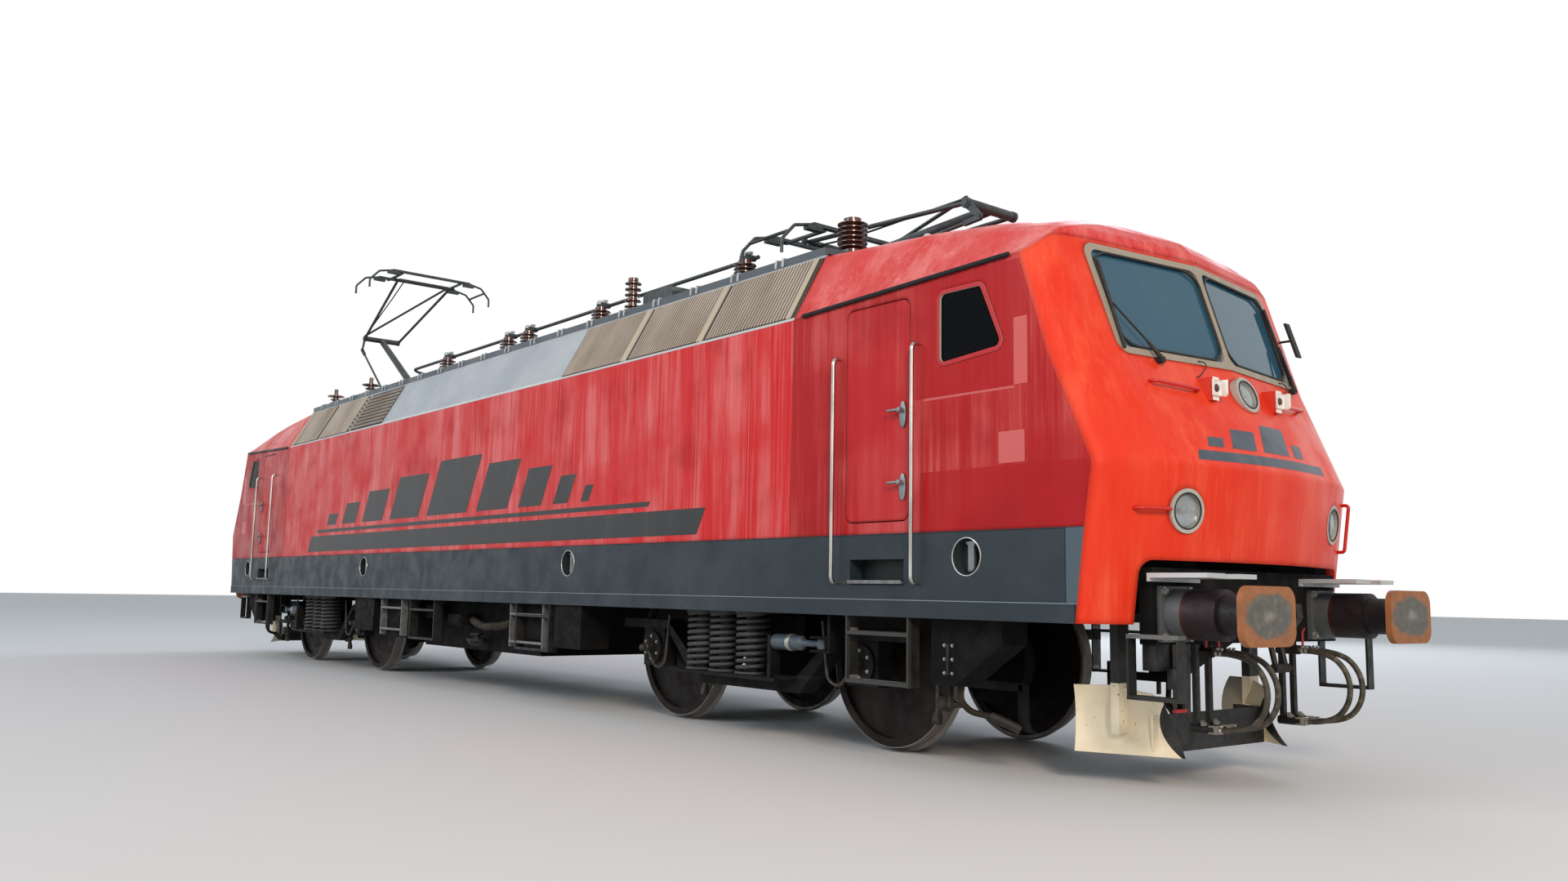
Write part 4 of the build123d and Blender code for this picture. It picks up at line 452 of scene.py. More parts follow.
# Black chassis paint, dull with dust
frame_paint = dusty_paint("dusty_black_underframe_paint", "#0B0C0D", "#1A1816", "#2A1E18", 0.75, 0.6,
                          specular=0.15)
bogie_paint = dusty_paint("oily_black_bogie_paint", "#0B0B0C", "#1B1815", "#2E2118", 0.65, 0.7, specular=0.2)
repaint(bogie_paint, "#1E2022", Y=(1.0, 1.3), Z=(0.50, 0.53))
# Pale enamel on the slanted panels, with a dark coat on the deck that is walked on
roof_paint = dusty_paint("pale_blue_grey_roof_enamel", "#A9AFB3", "#8E959A", "#9A9C99", 0.4, 0.5, 0.5)
repaint(roof_paint, "#4A5359", Z=(3.842, 4.2))
repaint(roof_paint, "#C3C6C4", Z=(3.2, 3.292))
# Factory enamel that still has some gloss, so the dampers stand out from the black frame
damper_paint = dusty_paint("blue_grey_damper_enamel", "#46545F", "#353B40", "#30302E", 0.42, 0.4)
# Cream enamel on the ends of the rail guards and black above them; the middle between them is painted
# black as painted shade
guard_paint = dusty_paint("cream_guard_enamel", "#EFE3C6", "#C9BB99", "#7E6748", 0.5, 0.4, 0.1)
repaint(guard_paint, "#131312", Y=(-0.1, 0.615))
repaint(guard_paint, "#131312", Z=(0.64, 1.5))
# Black steps, trodden bright and grey where boots meet them
step_metal = dusty_paint("worn_black_step_paint", "#1B1C1C", "#35332F", "#5B4030", 0.5, 0.5, 0.06, 0.3)
repaint(step_metal, "#C4C8C8", X=(8.84, 9.40), Z=(1.24, 1.40))
repaint(step_metal, "#7A7B79", X=(6.722, 7.328), Z=(0.56, 0.60))
repaint(step_metal, "#7A7B79", X=(6.722, 7.328), Z=(0.895, 0.93))
repaint(step_metal, "#3A3A38", X=(6.60, 7.45), Y=(1.44, 1.6), Z=(0.50, 1.02))
repaint(step_metal, "#6A6B69", X=(8.84, 9.21), Z=(0.935, 0.97))
# Black barrels with a bright collar and a rust-red one
barrel_paint = dusty_paint("black_buffer_barrel_paint", "#0E0D0C", "#231C18", "#4A2C20", 0.5, 0.5, 0.08, 0.2)
repaint(barrel_paint, "#565A5B", X=(8.97, 9.115))
repaint(barrel_paint, "#3D1712", X=(9.115, 9.135))
repaint(barrel_paint, "#1E1216", X=(9.135, 9.60))
# Forged steel, almost black under oil and soot
coupling_steel = dusty_paint("forged_black_coupling", "#15130F", "#2B241D", "#4A3324", 0.5, 0.5, 0.05, 0.4)
# Matt enamel, which doesn't mirror in the windscreens
desk_paint = dusty_paint("grey_green_cab_enamel", "#5B625E", "#4A4F4B", "#464A47", 0.6, 0.3)
# Bare aluminium that soot and weather have turned dull and dark
conductor = dusty_paint("weathered_aluminium_conductor", "#4C5254", "#2A2C2C", "#6A4A38", 0.5, 0.45,
                        0.05, 0.6)
# Powder coat, an even black with little gloss
seat_frame = dusty_paint("black_powder_coated_seat_steel", "#1A1B1C", "#26282A", "#1E1F20", 0.45, 0.3)
# Pale enamel: duller round the windscreens, red round the side windows, and white faces on orange-red tail
# lamp housings
frame_grey = dusty_paint("pale_grey_frame_enamel", "#B4B3AB", "#8F8C82", "#7C7468", 0.5, 0.35, 0.08)
repaint(frame_grey, "#9A907F", X=(8.40, 8.98), Y=(-0.1, 1.2), Z=(2.64, 3.6))
repaint(frame_grey, "#B2161A", Y=(1.4782, 1.6), Z=(2.5, 3.3))
repaint(frame_grey, "#D13A22", Y=(0.33, 0.44), Z=(2.4, 2.62), X=(8.7, 9.0035))
repaint(frame_grey, "#E9E7E0", Y=(0.33, 0.44), Z=(2.4, 2.62), X=(9.0035, 9.1))

# %% Rubbed steel
# Use has rubbed a ragged, lying oval of each disc free of rust
buffer_steel = dusty_paint("rusty_buffer_steel", "#9A6238", "#7A5236", "#B06A3C", 0.6, 0.5, 0.05, 0.1)
worn_y = 0.880
worn_z = 1.083
worn_radius = 0.185
tree, shader, rusty, place = opened(buffer_steel)
xyz = axes(tree, place)
across = times(tree, beyond(tree, xyz["Y"], worn_y), 0.84)
above = times(tree, less(tree, xyz["Z"], worn_z), 1.6)
ragged = calculate(tree, "ADD", radius_of(tree, across, above),
                   step(tree, noise(tree, place, 0.17, 2), 0.3, 0.7, -0.022, 0.022))
worn = ramp(tree, noise(tree, place, 0.05, 5), [(0.30, "#4A4943"), (0.50, "#5B5A53"), (0.75, "#77756C")])
worn = mix(tree, step(tree, ragged, 0.01, 0.09), "#86847C", worn)
feed(tree, shader, Base_Color=mix(tree, step(tree, ragged, worn_radius, 0.228), worn, rusty))
repaint(buffer_steel, "#120D10", X=(8.5, 9.558))
# Rolling keeps the treads of the wheels polished, and all that lies further in is under brake dust
wheel_steel = dusty_paint("brake_dusted_wheel_steel", "#191513", "#2B211B", "#3D2A1D", 0.6, 0.6, 0.1,
                          0.3, 0.2)
tread_radius = 0.617
tree, shader, dusty, place = opened(wheel_steel)
xyz = axes(tree, place)
along = beyond(tree, beyond(tree, xyz["X"], bogie_x), half_wheelbase)
radius = radius_of(tree, along, less(tree, xyz["Z"], axle_z))
polished = calculate(tree, "GREATER_THAN", radius, tread_radius)
feed(tree, shader, Base_Color=mix(tree, polished, dusty, "#8F8A84"), Metallic=times(tree, polished, 0.9))

# %% [markdown]
# ## Bare metals
# The handrails are polished stainless steel tube, and those on the nose are painted red. The side grilles
# are unpainted aluminium that has gone tan with dust. A metal keeps the shader's default IOR, and its look
# comes from its colour and roughness.

# %% Stainless steel and grille aluminium
stainless, tree, shader, place = clouded(
    "polished_stainless_tube", [(0.35, "#A9A7A2"), (0.65, "#D3D2CE")], 0.08, 3, (1, 1, 4), Roughness=0.22)
# The handrails on the nose are painted, so they have no metal in view
nose_rails = (8.75, 9.6)
repaint(stainless, "#C51F14", X=nose_rails)
feed(tree, shader, Metallic=less(tree, 1.0, box_mask(tree, place, X=nose_rails)))
grille_metal, tree, shader, place = clouded(
    "dusty_tan_aluminium_grille", [(0.3, "#8E8271"), (0.5, "#A5988A"), (0.7, "#B7AD9F")], 0.45, 4,
    (1.0, 2.0, 2.0), Metallic=0.3, Roughness=0.55)
bump(tree, shader, noise(tree, place, 0.01, 3), 0.15, 0.001)
# The troughs are painted dark as painted shade, up to 8 mm above the backing sheet, which leans inwards
sheet_foot_z = 3.261
slope_run, slope_rise = 0.316, 0.575
slope_length = math.hypot(slope_run, slope_rise)
tree, shader, tan_metal, place = opened(grille_metal)
xyz = axes(tree, place)
outwards = times(tree, beyond(tree, xyz["Y"], body_half_width), slope_rise / slope_length)
upwards = times(tree, less(tree, xyz["Z"], sheet_foot_z), slope_run / slope_length)
proud = calculate(tree, "ADD", outwards, upwards)
feed(tree, shader, Base_Color=mix(tree, step(tree, proud, 0.006, 0.011), "#3B342A", tan_metal))
grille_posts = ((3.53, 3.608), (4.762, 4.834), (5.972, 6.03))
for post_x in grille_posts:
    repaint(grille_metal, "#B5AA99", X=post_x)

# %% [markdown]
# ## Glass, glaze and rubber
# The panes are laminated glass, whose blue colour is a painted reflection of the sky. The lamp covers are
# clear. The roof insulators are brown glazed porcelain, whose glaze is smooth under soot. Seals and gutters
# are black rubber.

# %% Glass
def clear_glass(name, tint, roughness, weight):
    """Glass under thin smears of dust."""
    made, tree, shader, place = new_material(name, Transmission_Weight=weight, IOR=1.38)
    smears = noise(tree, place, 0.25, 4, (1, 1, 3))
    feed(tree, shader, Base_Color=mix(tree, times(tree, smears, 0.25), tint, "#8C9AA0"),
         Roughness=step(tree, smears, 0.4, 0.7, roughness, roughness + 0.08))
    return made


# The blue of the panes is a painted reflection of the sky
window_glass = clear_glass("laminated_glass_painted_sky_blue", "#2A6A88", 0.02, 0.45)
# The cab's side panes are almost black, and let through and reflect less than the windscreens
side_panes = (1.40, 1.5)
repaint(window_glass, "#04080A", Y=side_panes)
tree, shader, tinted, place = opened(window_glass)
side_pane = box_mask(tree, place, Y=side_panes)
feed(tree, shader, Transmission_Weight=less(tree, 0.45, times(tree, side_pane, 0.3)),
     Specular_IOR_Level=less(tree, 0.3, times(tree, side_pane, 0.28)))
lamp_glass = clear_glass("clear_lamp_glass", "#DCE2E4", 0.05, 0.8)

# %% Porcelain and rubber
porcelain, tree, shader, place = clouded(
    "brown_glazed_porcelain", [(0.35, "#3A1A12"), (0.55, "#5B2A1C"), (0.75, "#4A3830")], 0.06, 4,
    Coat_Weight=0.5)
feed(tree, shader, Roughness=step(tree, noise(tree, place, 0.04, 3), 0.4, 0.7, 0.12, 0.5))
black_rubber, tree, shader, place = clouded(
    "weathered_black_rubber", [(0.35, "#121212"), (0.7, "#2B2A28")], 0.06, 4, Roughness=0.7)
bump(tree, shader, noise(tree, place, 0.01, 2), 0.15, 0.001)

# %% Seat cloth
seat_cloth, tree, shader, place = new_material("woven_blue_grey_seat_cloth", Roughness=0.85,
                                               Sheen_Weight=0.35, Sheen_Roughness=0.4)
# Real threads are too fine to show from outside, so these are drawn about 4 mm apart
weave = add(tree, "ShaderNodeTexChecker", {"Scale": 260.0}, {"Vector": place}).outputs["Fac"]
feed(tree, shader, Base_Color=mix(tree, times(tree, weave, 0.5), "#27333F", "#3B4956"))
bump(tree, shader, weave, 0.3, 0.0008)

# %% [markdown]
# ## Giving the CAD solids their finish
# A CAD node keeps its mesh. Only its material slots are filled, from one table of finishes and node names.

# %% Paint the CAD nodes
finish_of = {
    "side_walls": side_enamel, "cab_sides": cab_side_enamel, "cab_fronts": nose_enamel,
    "cab_roofs": roof_enamel, "solebars": sill_paint, "roof_hatches": roof_paint,
    "vent_grilles": grille_metal, "grab_rails": stainless, "steps_and_ladders": step_metal,
    "buffer_barrels": barrel_paint, "buffer_heads": buffer_steel, "rail_guards": guard_paint,
    "seat_frames": seat_frame, "seat_cushions": seat_cloth, "cab_glass": window_glass,
    "lamp_lenses": lamp_glass, "roof_insulators": porcelain, "wipers_and_mirrors": black_rubber,
}
# %d stands for the number of an end or of a wheelset
shared_finishes = (
    (frame_paint, "floor_plate cross_beams transformer_tank underfloor_equipment"),
    (desk_paint, "cab_bulkheads driver_desks"),
    (frame_grey, "window_frames lamp_housings"),
    (coupling_steel, "screw_couplings hose_cocks"),
    (conductor, "busbar_and_switch pantograph_bases"),
    (bogie_paint, "bogie_%d_frame bogie_%d_suspension bogie_%d_motors"),
    (conductor, "pantograph_%d_lower_arm pantograph_%d_upper_arm"),
    (conductor, "pantograph_%d_control_rod pantograph_%d_head"),
    (door_enamel, "cab_%d_door_left cab_%d_door_right"),
    (wheel_steel, "wheelset_%d"),
)
for finish, names in shared_finishes:
    for name in names.split():
        for number in (1, 2, 3, 4):
            finish_of[name.replace("%d", str(number))] = finish
for name, finish in finish_of.items():
    if name in nodes:
        nodes[name].data.materials.clear()
        nodes[name].data.materials.append(finish)
print("not painted:", sorted(n for n in nodes if n not in finish_of and not n.startswith("brake_hose")))

# %% [markdown]
# ## Tools for modelling
# Small fittings start as primitives. Faces are selected in code by their place or normal, and edit-mode
# operators shape them. What repeats is modelled once at the origin and copied, and each copy has its own
# mesh. A finished piece sits at the origin with its place in its mesh, as the CAD nodes do.

# %% Modelling helpers
quarter = math.pi / 2
mirror_y = Matrix.Diagonal((1, -1, 1, 1))
edit_steps = {
    "inset": lambda value: bpy.ops.mesh.inset(thickness=value),
    "extrude": lambda value: bpy.ops.mesh.extrude_region_move(TRANSFORM_OT_translate={"value": value}),
    "move": lambda value: bpy.ops.transform.translate(value=value),
    "scale": lambda value: bpy.ops.transform.resize(value=value),
    "bevel": lambda value: bpy.ops.mesh.bevel(offset=value[0], segments=value[1], affect="EDGES"),
}


def facing(x=0, y=0, z=0):
    """A test for faces that look in a direction."""
    direction = Vector((x, y, z))
    return lambda centre, normal: normal.dot(direction) > 0.9


to_front = facing(x=1)
to_back = facing(x=-1)
to_side = facing(y=-1)
to_top = facing(z=1)
to_foot = facing(z=-1)


def top_or_foot(centre, normal):
    return abs(normal.z) > 0.9


def only(piece):
    """Makes the piece the only selected object."""
    bpy.ops.object.select_all(action="DESELECT")
    piece.select_set(True)
    bpy.context.view_layer.objects.active = piece


def primitive(kind, name, size=(1, 1, 1), turn=(0, 0, 0), at=(0, 0, 0), **settings):
    """Adds a primitive, and puts its size, turn and place into its mesh."""
    bpy.ops.object.select_all(action="DESELECT")
    getattr(bpy.ops.mesh, "primitive_%s_add" % kind)(**settings)
    made = bpy.context.object
    made.name = name
    made.scale = size
    made.rotation_euler = turn
    made.location = at
    bpy.ops.object.transform_apply(location=True, rotation=True, scale=True)
    return made


def shaped(piece, test, *steps):
    """Takes edit-mode steps, pairs of a kind and a value, on the faces that pass the test."""
    only(piece)
    bpy.ops.object.mode_set(mode="EDIT")
    bpy.ops.mesh.select_mode(type="FACE")
    bpy.ops.mesh.select_all(action="DESELECT")
    bpy.ops.object.mode_set(mode="OBJECT")
    for face in piece.data.polygons:
        face.select = bool(test(face.center, face.normal))
    bpy.ops.object.mode_set(mode="EDIT")
    for kind, value in steps:
        edit_steps[kind](value)
    bpy.ops.object.mode_set(mode="OBJECT")
    return piece


def modifier(piece, kind, **settings):
    """Adds a modifier and applies it."""
    only(piece)
    made = piece.modifiers.new(kind.lower(), kind)
    for key, value in settings.items():
        setattr(made, key, value)
    bpy.ops.object.modifier_apply(modifier=made.name)
    return piece


def rounded(piece, width, segments):
    return modifier(piece, "BEVEL", width=width, segments=segments)


def block(name, half_size, at, bevel=None, test=None, steps=()):
    """A cube with some of its faces shaped, and then its edges rounded."""
    made = primitive("cube", name, size=half_size, at=at)
    if test:
        shaped(made, test, *steps)
    if bevel:
        rounded(made, *bevel)
    return made


def joined(pieces, name):
    """Joins pieces into one."""
    bpy.ops.object.select_all(action="DESELECT")
    for one in pieces:
        one.select_set(True)
    bpy.context.view_layer.objects.active = pieces[0]
    bpy.ops.object.join()
    bpy.context.object.name = name
    return bpy.context.object


def duplicate(source, matrix, name):
    """A copy with its own mesh, moved by the matrix."""
    made = bpy.data.objects.new(name, source.data.copy())
    bpy.context.scene.collection.objects.link(made)
    made.data.transform(matrix)
    if matrix.determinant() < 0:
        made.data.flip_normals()
    return made


def copied(source, matrices, name):
    """One piece out of copies of source, one for each matrix. The source goes."""
    copies = [duplicate(source, matrix, name) for matrix in matrices]
    bpy.data.objects.remove(source)
    return joined(copies, name)


def shift(x, y, z, turn=0.0, axis="Z"):
    """A turn about an axis and then a move."""
    return Matrix.Translation((x, y, z)) @ Matrix.Rotation(turn, 4, axis)


def dressed(piece, material, body="carbody", smooth=35):
    """Gives a finished piece its material and its body."""
    piece.data.materials.clear()
    piece.data.materials.append(material)
    only(piece)
    bpy.ops.object.shade_smooth_by_angle(angle=math.radians(smooth))
    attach(piece, body)
    print(piece.name, len(piece.data.polygons), "faces")
    return piece


def both_ends(matrices):
    """The same places again, turned half round, for the other end of the locomotive."""
    return matrices + [shift(0, 0, 0, math.pi) @ m for m in matrices]


at_both_ends = both_ends([Matrix.Identity(4)])


def placed(source, places, name, material, body="carbody", smooth=35):
    """Copies a piece to its places, and dresses what comes out."""
    return dressed(copied(source, places, name), material, body, smooth)


def outward(piece):
    """Turns the faces of a closed piece outwards."""
    only(piece)
    bpy.ops.object.mode_set(mode="EDIT")
    bpy.ops.mesh.select_all(action="SELECT")
    bpy.ops.mesh.normals_make_consistent(inside=False)
    bpy.ops.object.mode_set(mode="OBJECT")
    return piece


def turned_part(profile, place=Matrix.Identity(4), segments=28):
    """A turned part about the X axis: a disc, extruded and scaled from one (x, radius) to the next."""
    start_x, radius = profile[0]
    made = primitive("circle", "turned", turn=(0, quarter, 0), at=(start_x, 0, 0), radius=radius,
                     vertices=segments, fill_type="NGON")
    bpy.ops.object.mode_set(mode="EDIT")
    bpy.ops.mesh.select_mode(type="FACE")
    bpy.ops.mesh.select_all(action="SELECT")
    for x, next_radius in profile[1:]:
        bpy.ops.mesh.extrude_region_move(TRANSFORM_OT_translate={"value": (x - start_x, 0, 0)})
        bpy.ops.transform.resize(value=(1, next_radius / radius, next_radius / radius),
                                 center_override=(x, 0, 0))
        start_x, radius = x, next_radius
    bpy.ops.object.mode_set(mode="OBJECT")
    outward(made)
    made.data.transform(place)
    return made


def tube(name, points, radius, corner=0.04):
    """A bent pipe. The curve is turned into a mesh, so that it can be joined and exported as one."""
    route = [Vector(points[0])]
    for before, here, after in zip(points, points[1:], points[2:]):
        here = Vector(here)
        towards = Vector(before) - here
        away = Vector(after) - here
        reach = min(corner, towards.length * 0.45, away.length * 0.45)
        start = here + towards.normalized() * reach
        stop = here + away.normalized() * reach
        for share in (0.0, 0.25, 0.5, 0.75, 1.0):
            route.append(start * (1 - share) ** 2 + here * 2 * share * (1 - share) + stop * share ** 2)
    route.append(Vector(points[-1]))
    made = round_curve(name, "POLY", route, radius, 2)
    made.data.use_fill_caps = True
    only(made)
    bpy.ops.object.convert(target="MESH")
    return bpy.context.object


# %% [markdown]
# ## Coil springs and dampers
# Three coil springs a side carry the body on each bogie. The CAD model draws them as ridged columns. Here a
# circle of spring wire is swept into a helix with the Screw modifier, which is how such a spring is wound. A
# yaw damper lies in front of them: a painted cylinder with a bright band and a thinner rod.

# %% Wind the springs
# Enamel that brake dust has greyed in patches
spring_steel = dusty_paint("dusty_grey_spring_enamel", "#2B2D2F", "#474542", "#4C3A2C", 0.55, 0.6, 0.08)
spring_foot = 0.510
spring_height = 0.506
spring_radius = 0.126
wire_radius = 0.019
spring_turns = 9
steps_per_turn = 22
spring_y = 1.190
spring_offsets = (-0.5, -0.175, 0.19)
seat_lift = 0.012


def wound_spring():
    """One spring, standing on the origin, with its two seats."""
    coil = primitive("circle", "coil", at=(spring_radius, 0, wire_radius), turn=(quarter, 0, 0),
                     radius=wire_radius, vertices=10)
    modifier(coil, "SCREW", angle=math.tau * spring_turns, screw_offset=spring_height - 2 * wire_radius,
             steps=steps_per_turn * spring_turns, render_steps=steps_per_turn * spring_turns, axis="Z",
             use_smooth_shade=True)
    inner = primitive("cone", "inner", vertices=20, radius1=0.062, radius2=0.062, depth=spring_height,
                      at=(0, 0, spring_height / 2))
    seats = [primitive("cylinder", "seat", vertices=32, radius=0.152, depth=0.022, at=(0, 0, height))
             for height in (seat_lift, spring_height - seat_lift)]
    for seat in seats:
        shaped(seat, top_or_foot, ("bevel", (0.006, 2)))
    return outward(joined([coil, inner] + seats, "spring"))


for number, end in vehicle_ends:
    places = [shift(end * (bogie_x + offset), side * spring_y, spring_foot) for side in (1, -1)
              for offset in spring_offsets]
    springs = placed(wound_spring(), places, "coil_springs_%d" % number, spring_steel,
                     "bogie_%d" % number, 50)
    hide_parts("bogie_%d_suspension" % number)

# %% Turn the dampers
damper_start = 0.600
damper_eye = 1.165
damper_z = 0.790
damper_y = 1.290
damper_profile = [(0.0, 0.052), (0.012, 0.06), (0.18, 0.06), (0.185, 0.064), (0.225, 0.064), (0.23, 0.056),
                  (0.32, 0.056), (0.33, 0.048), (0.34, 0.03), (0.35, 0.024), (0.50, 0.024), (0.515, 0.034),
                  (0.545, 0.034)]
band_profile = [(0.183, 0.0645), (0.187, 0.0655), (0.222, 0.0655), (0.227, 0.0645)]
# Bare steel, which shines between two painted lengths
bright_band = dusty_paint("bare_steel_damper_band", "#B9B8B2", "#8C8A84", "#75695A", 0.35, 0.3, 0.03, 0.8)
for number, end in vehicle_ends:
    turn = 0.0 if end > 0 else math.pi
    places = [shift(end * (bogie_x + damper_start), side * damper_y, damper_z, turn) for side in (1, -1)]
    eye_places = [shift(end * (bogie_x + damper_eye), side * damper_y, damper_z) for side in (1, -1)]
    eye = primitive("cylinder", "eye", vertices=28, radius=0.042, depth=0.072)
    shaped(eye, top_or_foot, ("inset", 0.014), ("scale", (1, 1, 0.86)))
    for source, spots, name, finish in ((turned_part(damper_profile), places, "yaw_dampers_%d", damper_paint),
                                        (turned_part(band_profile), places, "damper_bands_%d", bright_band),
                                        (eye, eye_places, "damper_eyes_%d", damper_paint)):
        placed(source, spots, name % number, finish, "bogie_%d" % number)

# %% [markdown]
# ## Bolts
# A bolt is a washer with a domed hexagon head. It is modelled once, along X, and copied to every flange.

# %% Place bolts
# Zinc keeps the bolts pale on black paint
bolt_steel = dusty_paint("zinc_plated_bolt_steel", "#A8A6A0", "#6E6A62", "#7A5A40", 0.4, 0.4, 0.02, 0.8)


def bolt(across):
    """A bolt whose head looks along X and whose washer lies on the plane x = 0."""
    washer = primitive("cylinder", "washer", vertices=16, radius=across * 0.75, depth=across * 0.16,
                       turn=(0, quarter, 0), at=(across * 0.08, 0, 0))
    head = primitive("cylinder", "head", vertices=6, radius=across * 0.55, depth=across * 0.5,
                     turn=(0, quarter, 0), at=(across * 0.38, 0, 0))
    shaped(head, to_front, ("inset", across * 0.12), ("move", (across * 0.08, 0, 0)))
    return joined([washer, head], "bolt")


flange_x = 9.010
flange_y = 0.875
flange_z = 1.080
flange_reach = 0.135
flange_bolts = [shift(flange_x, side * flange_y + dy, flange_z + dz) for side in (1, -1)
                for dy in (-flange_reach, flange_reach) for dz in (-flange_reach, flange_reach)]
placed(bolt(0.036), both_ends(flange_bolts), "buffer_flange_bolts", bolt_steel)
cover_y = 1.136
cover_ring = 0.100
cover_bolt_count = 6
for number, end in vehicle_ends:
    cover_bolts = []
    for axle_x in axle_xs:
        for side in (1, -1):
            for index in range(cover_bolt_count):
                angle = math.tau * (index + 0.5) / cover_bolt_count
                cover_bolts.append(shift(end * axle_x, side * cover_y, axle_z, side * quarter) @
                                   shift(0, cover_ring * math.cos(angle), cover_ring * math.sin(angle)))
    placed(bolt(0.020), cover_bolts, "axle_cover_bolts_%d" % number, bolt_steel,
           "bogie_%d" % number)

# %% [markdown]
# ## Small fittings of the cab side
# Each door has two oval handle plates at its front edge, with a lever that points backwards. The round ports
# in the sill have a pale rim, and inside them a pressed cup with a hook for the lifting gear. These are
# turned or pressed parts, so they start as cylinders and cubes that are squashed, inset and bevelled.

# %% Door handles
# Cast aluminium, half dull and without rust
handle_metal = dusty_paint("cast_aluminium_handle", "#8E9496", "#5F6568", "#5A5A58", 0.38, 0.35, 0.03, 0.7)
handle_x = 7.292
handle_y = 1.4755
handle_heights = (1.930, 2.430)


def door_handle():
    """Oval plate with a lever, on the plane y = 0, that looks along -Y and points to -X."""
    plate = primitive("cylinder", "plate", vertices=32, radius=0.5, depth=1.0, size=(0.062, 0.185, 0.012),
                      turn=(quarter, 0, 0), at=(0, -0.008, -0.03))
    shaped(plate, to_side, ("inset", 0.006), ("move", (0, -0.003, 0)))
    lever = primitive("cylinder", "lever", vertices=16, radius=0.011, depth=0.125, turn=(0, quarter, 0),
                      at=(-0.045, -0.048, 0))
    shaped(lever, to_back, ("scale", (1, 1.3, 0.8)), ("inset", 0.004))
    hub = primitive("cylinder", "hub", vertices=16, radius=0.017, depth=0.05, turn=(quarter, 0, 0),
                    at=(0, -0.033, 0))
    return joined([plate, lever, rounded(hub, 0.003, 2)], "handle")


for cab, end in vehicle_ends:
    for side_name, side in (("left", 1), ("right", -1)):
        places = [shift(end * handle_x, side * handle_y, height) @ Matrix.Diagonal((end, -side, 1, 1))
                  for height in handle_heights]
        placed(door_handle(), places, "door_handles_%d_%s" % (cab, side_name), handle_metal,
               "door_%d_%s" % (cab, side_name))

# %% Port rims, hooks and cups
port_xs = (-7.866, -2.7, 2.7, 7.866)
port_y = 1.4752
port_z = 1.417
port_places = [shift(x, side * port_y, port_z, turn) for side, turn in ((-1, 0.0), (1, math.pi))
               for x in port_xs]
rim = primitive("torus", "rim", turn=(quarter, 0, 0), major_radius=0.122, minor_radius=0.005,
                major_segments=40, minor_segments=8)
placed(rim, port_places, "port_rims", bright_band)
hook = block("hook", (0.026, 0.015, 0.075), (0.012, 0.045, 0.0), None, to_top,
             (("extrude", (0, 0, 0.012)), ("scale", (1.7, 1.2, 1)), ("extrude", (0, 0, 0.014))))
shaped(hook, to_foot, ("extrude", (-0.012, 0, -0.02)), ("scale", (0.7, 0.9, 1)))
placed(rounded(hook, 0.004, 2), port_places, "port_hooks", handle_metal)
cup_profile = [(0.088, 0.1195), (0.0, 0.1195), (0.0, 0.1235), (0.092, 0.1235)]
placed(turned_part(cup_profile, shift(0, 0, 0, quarter), 40), port_places, "port_cups", sill_paint)

# %% [markdown]
# ## The side design
# Each long side carries a large black film. Here it is a plain design of slanted bars over a long low band,
# the same on both sides. A bar is a thin cube whose top face is pushed sideways in edit mode. Its outer
# face lies a millimetre outside the enamel, so that the two surfaces never share a plane.

# %% Black film
black_film = clouded("satin_black_vinyl_film", [(0.35, "#17191B"), (0.6, "#1F2224"), (0.78, "#34383B")],
                     0.3, 5, (1, 1, 5), Roughness=0.42)[0]
tree, shader, film_colour, place = opened(black_film)
seam_lines = near_lines(tree, axes(tree, place)["X"], body_seams, 0.004)
feed(tree, shader, Base_Color=mix(tree, seam_lines, film_colour, "#0A0B0C"))

# %% Cut the bars of the side design
film_y = 1.4757
film_half_thickness = 0.0006
film_lean = 0.55
# Foot from x, foot to x, lowest z, highest z
film_bars = [(-4.95, 4.85, 1.640, 1.860), (-4.60, 4.10, 1.905, 1.950),
             (-4.20, -3.85, 2.005, 2.16), (-3.60, -3.10, 2.005, 2.28), (-2.85, -2.15, 2.005, 2.40),
             (-1.90, -1.00, 2.005, 2.52), (-0.75, 0.35, 2.005, 2.64), (0.60, 1.35, 2.005, 2.52),
             (1.60, 2.10, 2.005, 2.40), (2.35, 2.65, 2.005, 2.28), (2.90, 3.05, 2.005, 2.16)]
bars = []
for x0, x1, z0, z1 in film_bars:
    half_size = ((x1 - x0) / 2, film_half_thickness, (z1 - z0) / 2)
    middle = ((x0 + x1) / 2, -film_y, (z0 + z1) / 2)
    bars.append(block("bar", half_size, middle, None, to_top, [("move", (film_lean * (z1 - z0), 0, 0))]))
placed(joined(bars, "bars"), at_both_ends, "side_design", black_film)

# %% [markdown]
# ## The nose design
# Short slate bars lie on the folded nose above the crease, over one long bar. They are cut flat, subdivided,
# and then projected onto the nose with a Shrinkwrap modifier, which also gives them their height above the
# enamel.

# %% Lay the bars on the nose
slate_film = clouded("slate_vinyl_film", [(0.35, "#2C3D4B"), (0.7, "#45525C")], 0.15, 4, Roughness=0.4)[0]
# Foot from y, foot to y, lowest z, highest z
nose_bars = [(-0.80, 0.66, 2.010, 2.075), (-0.66, -0.52, 2.105, 2.17), (-0.44, -0.20, 2.105, 2.24),
             (-0.12, 0.20, 2.105, 2.30), (0.28, 0.42, 2.105, 2.20)]


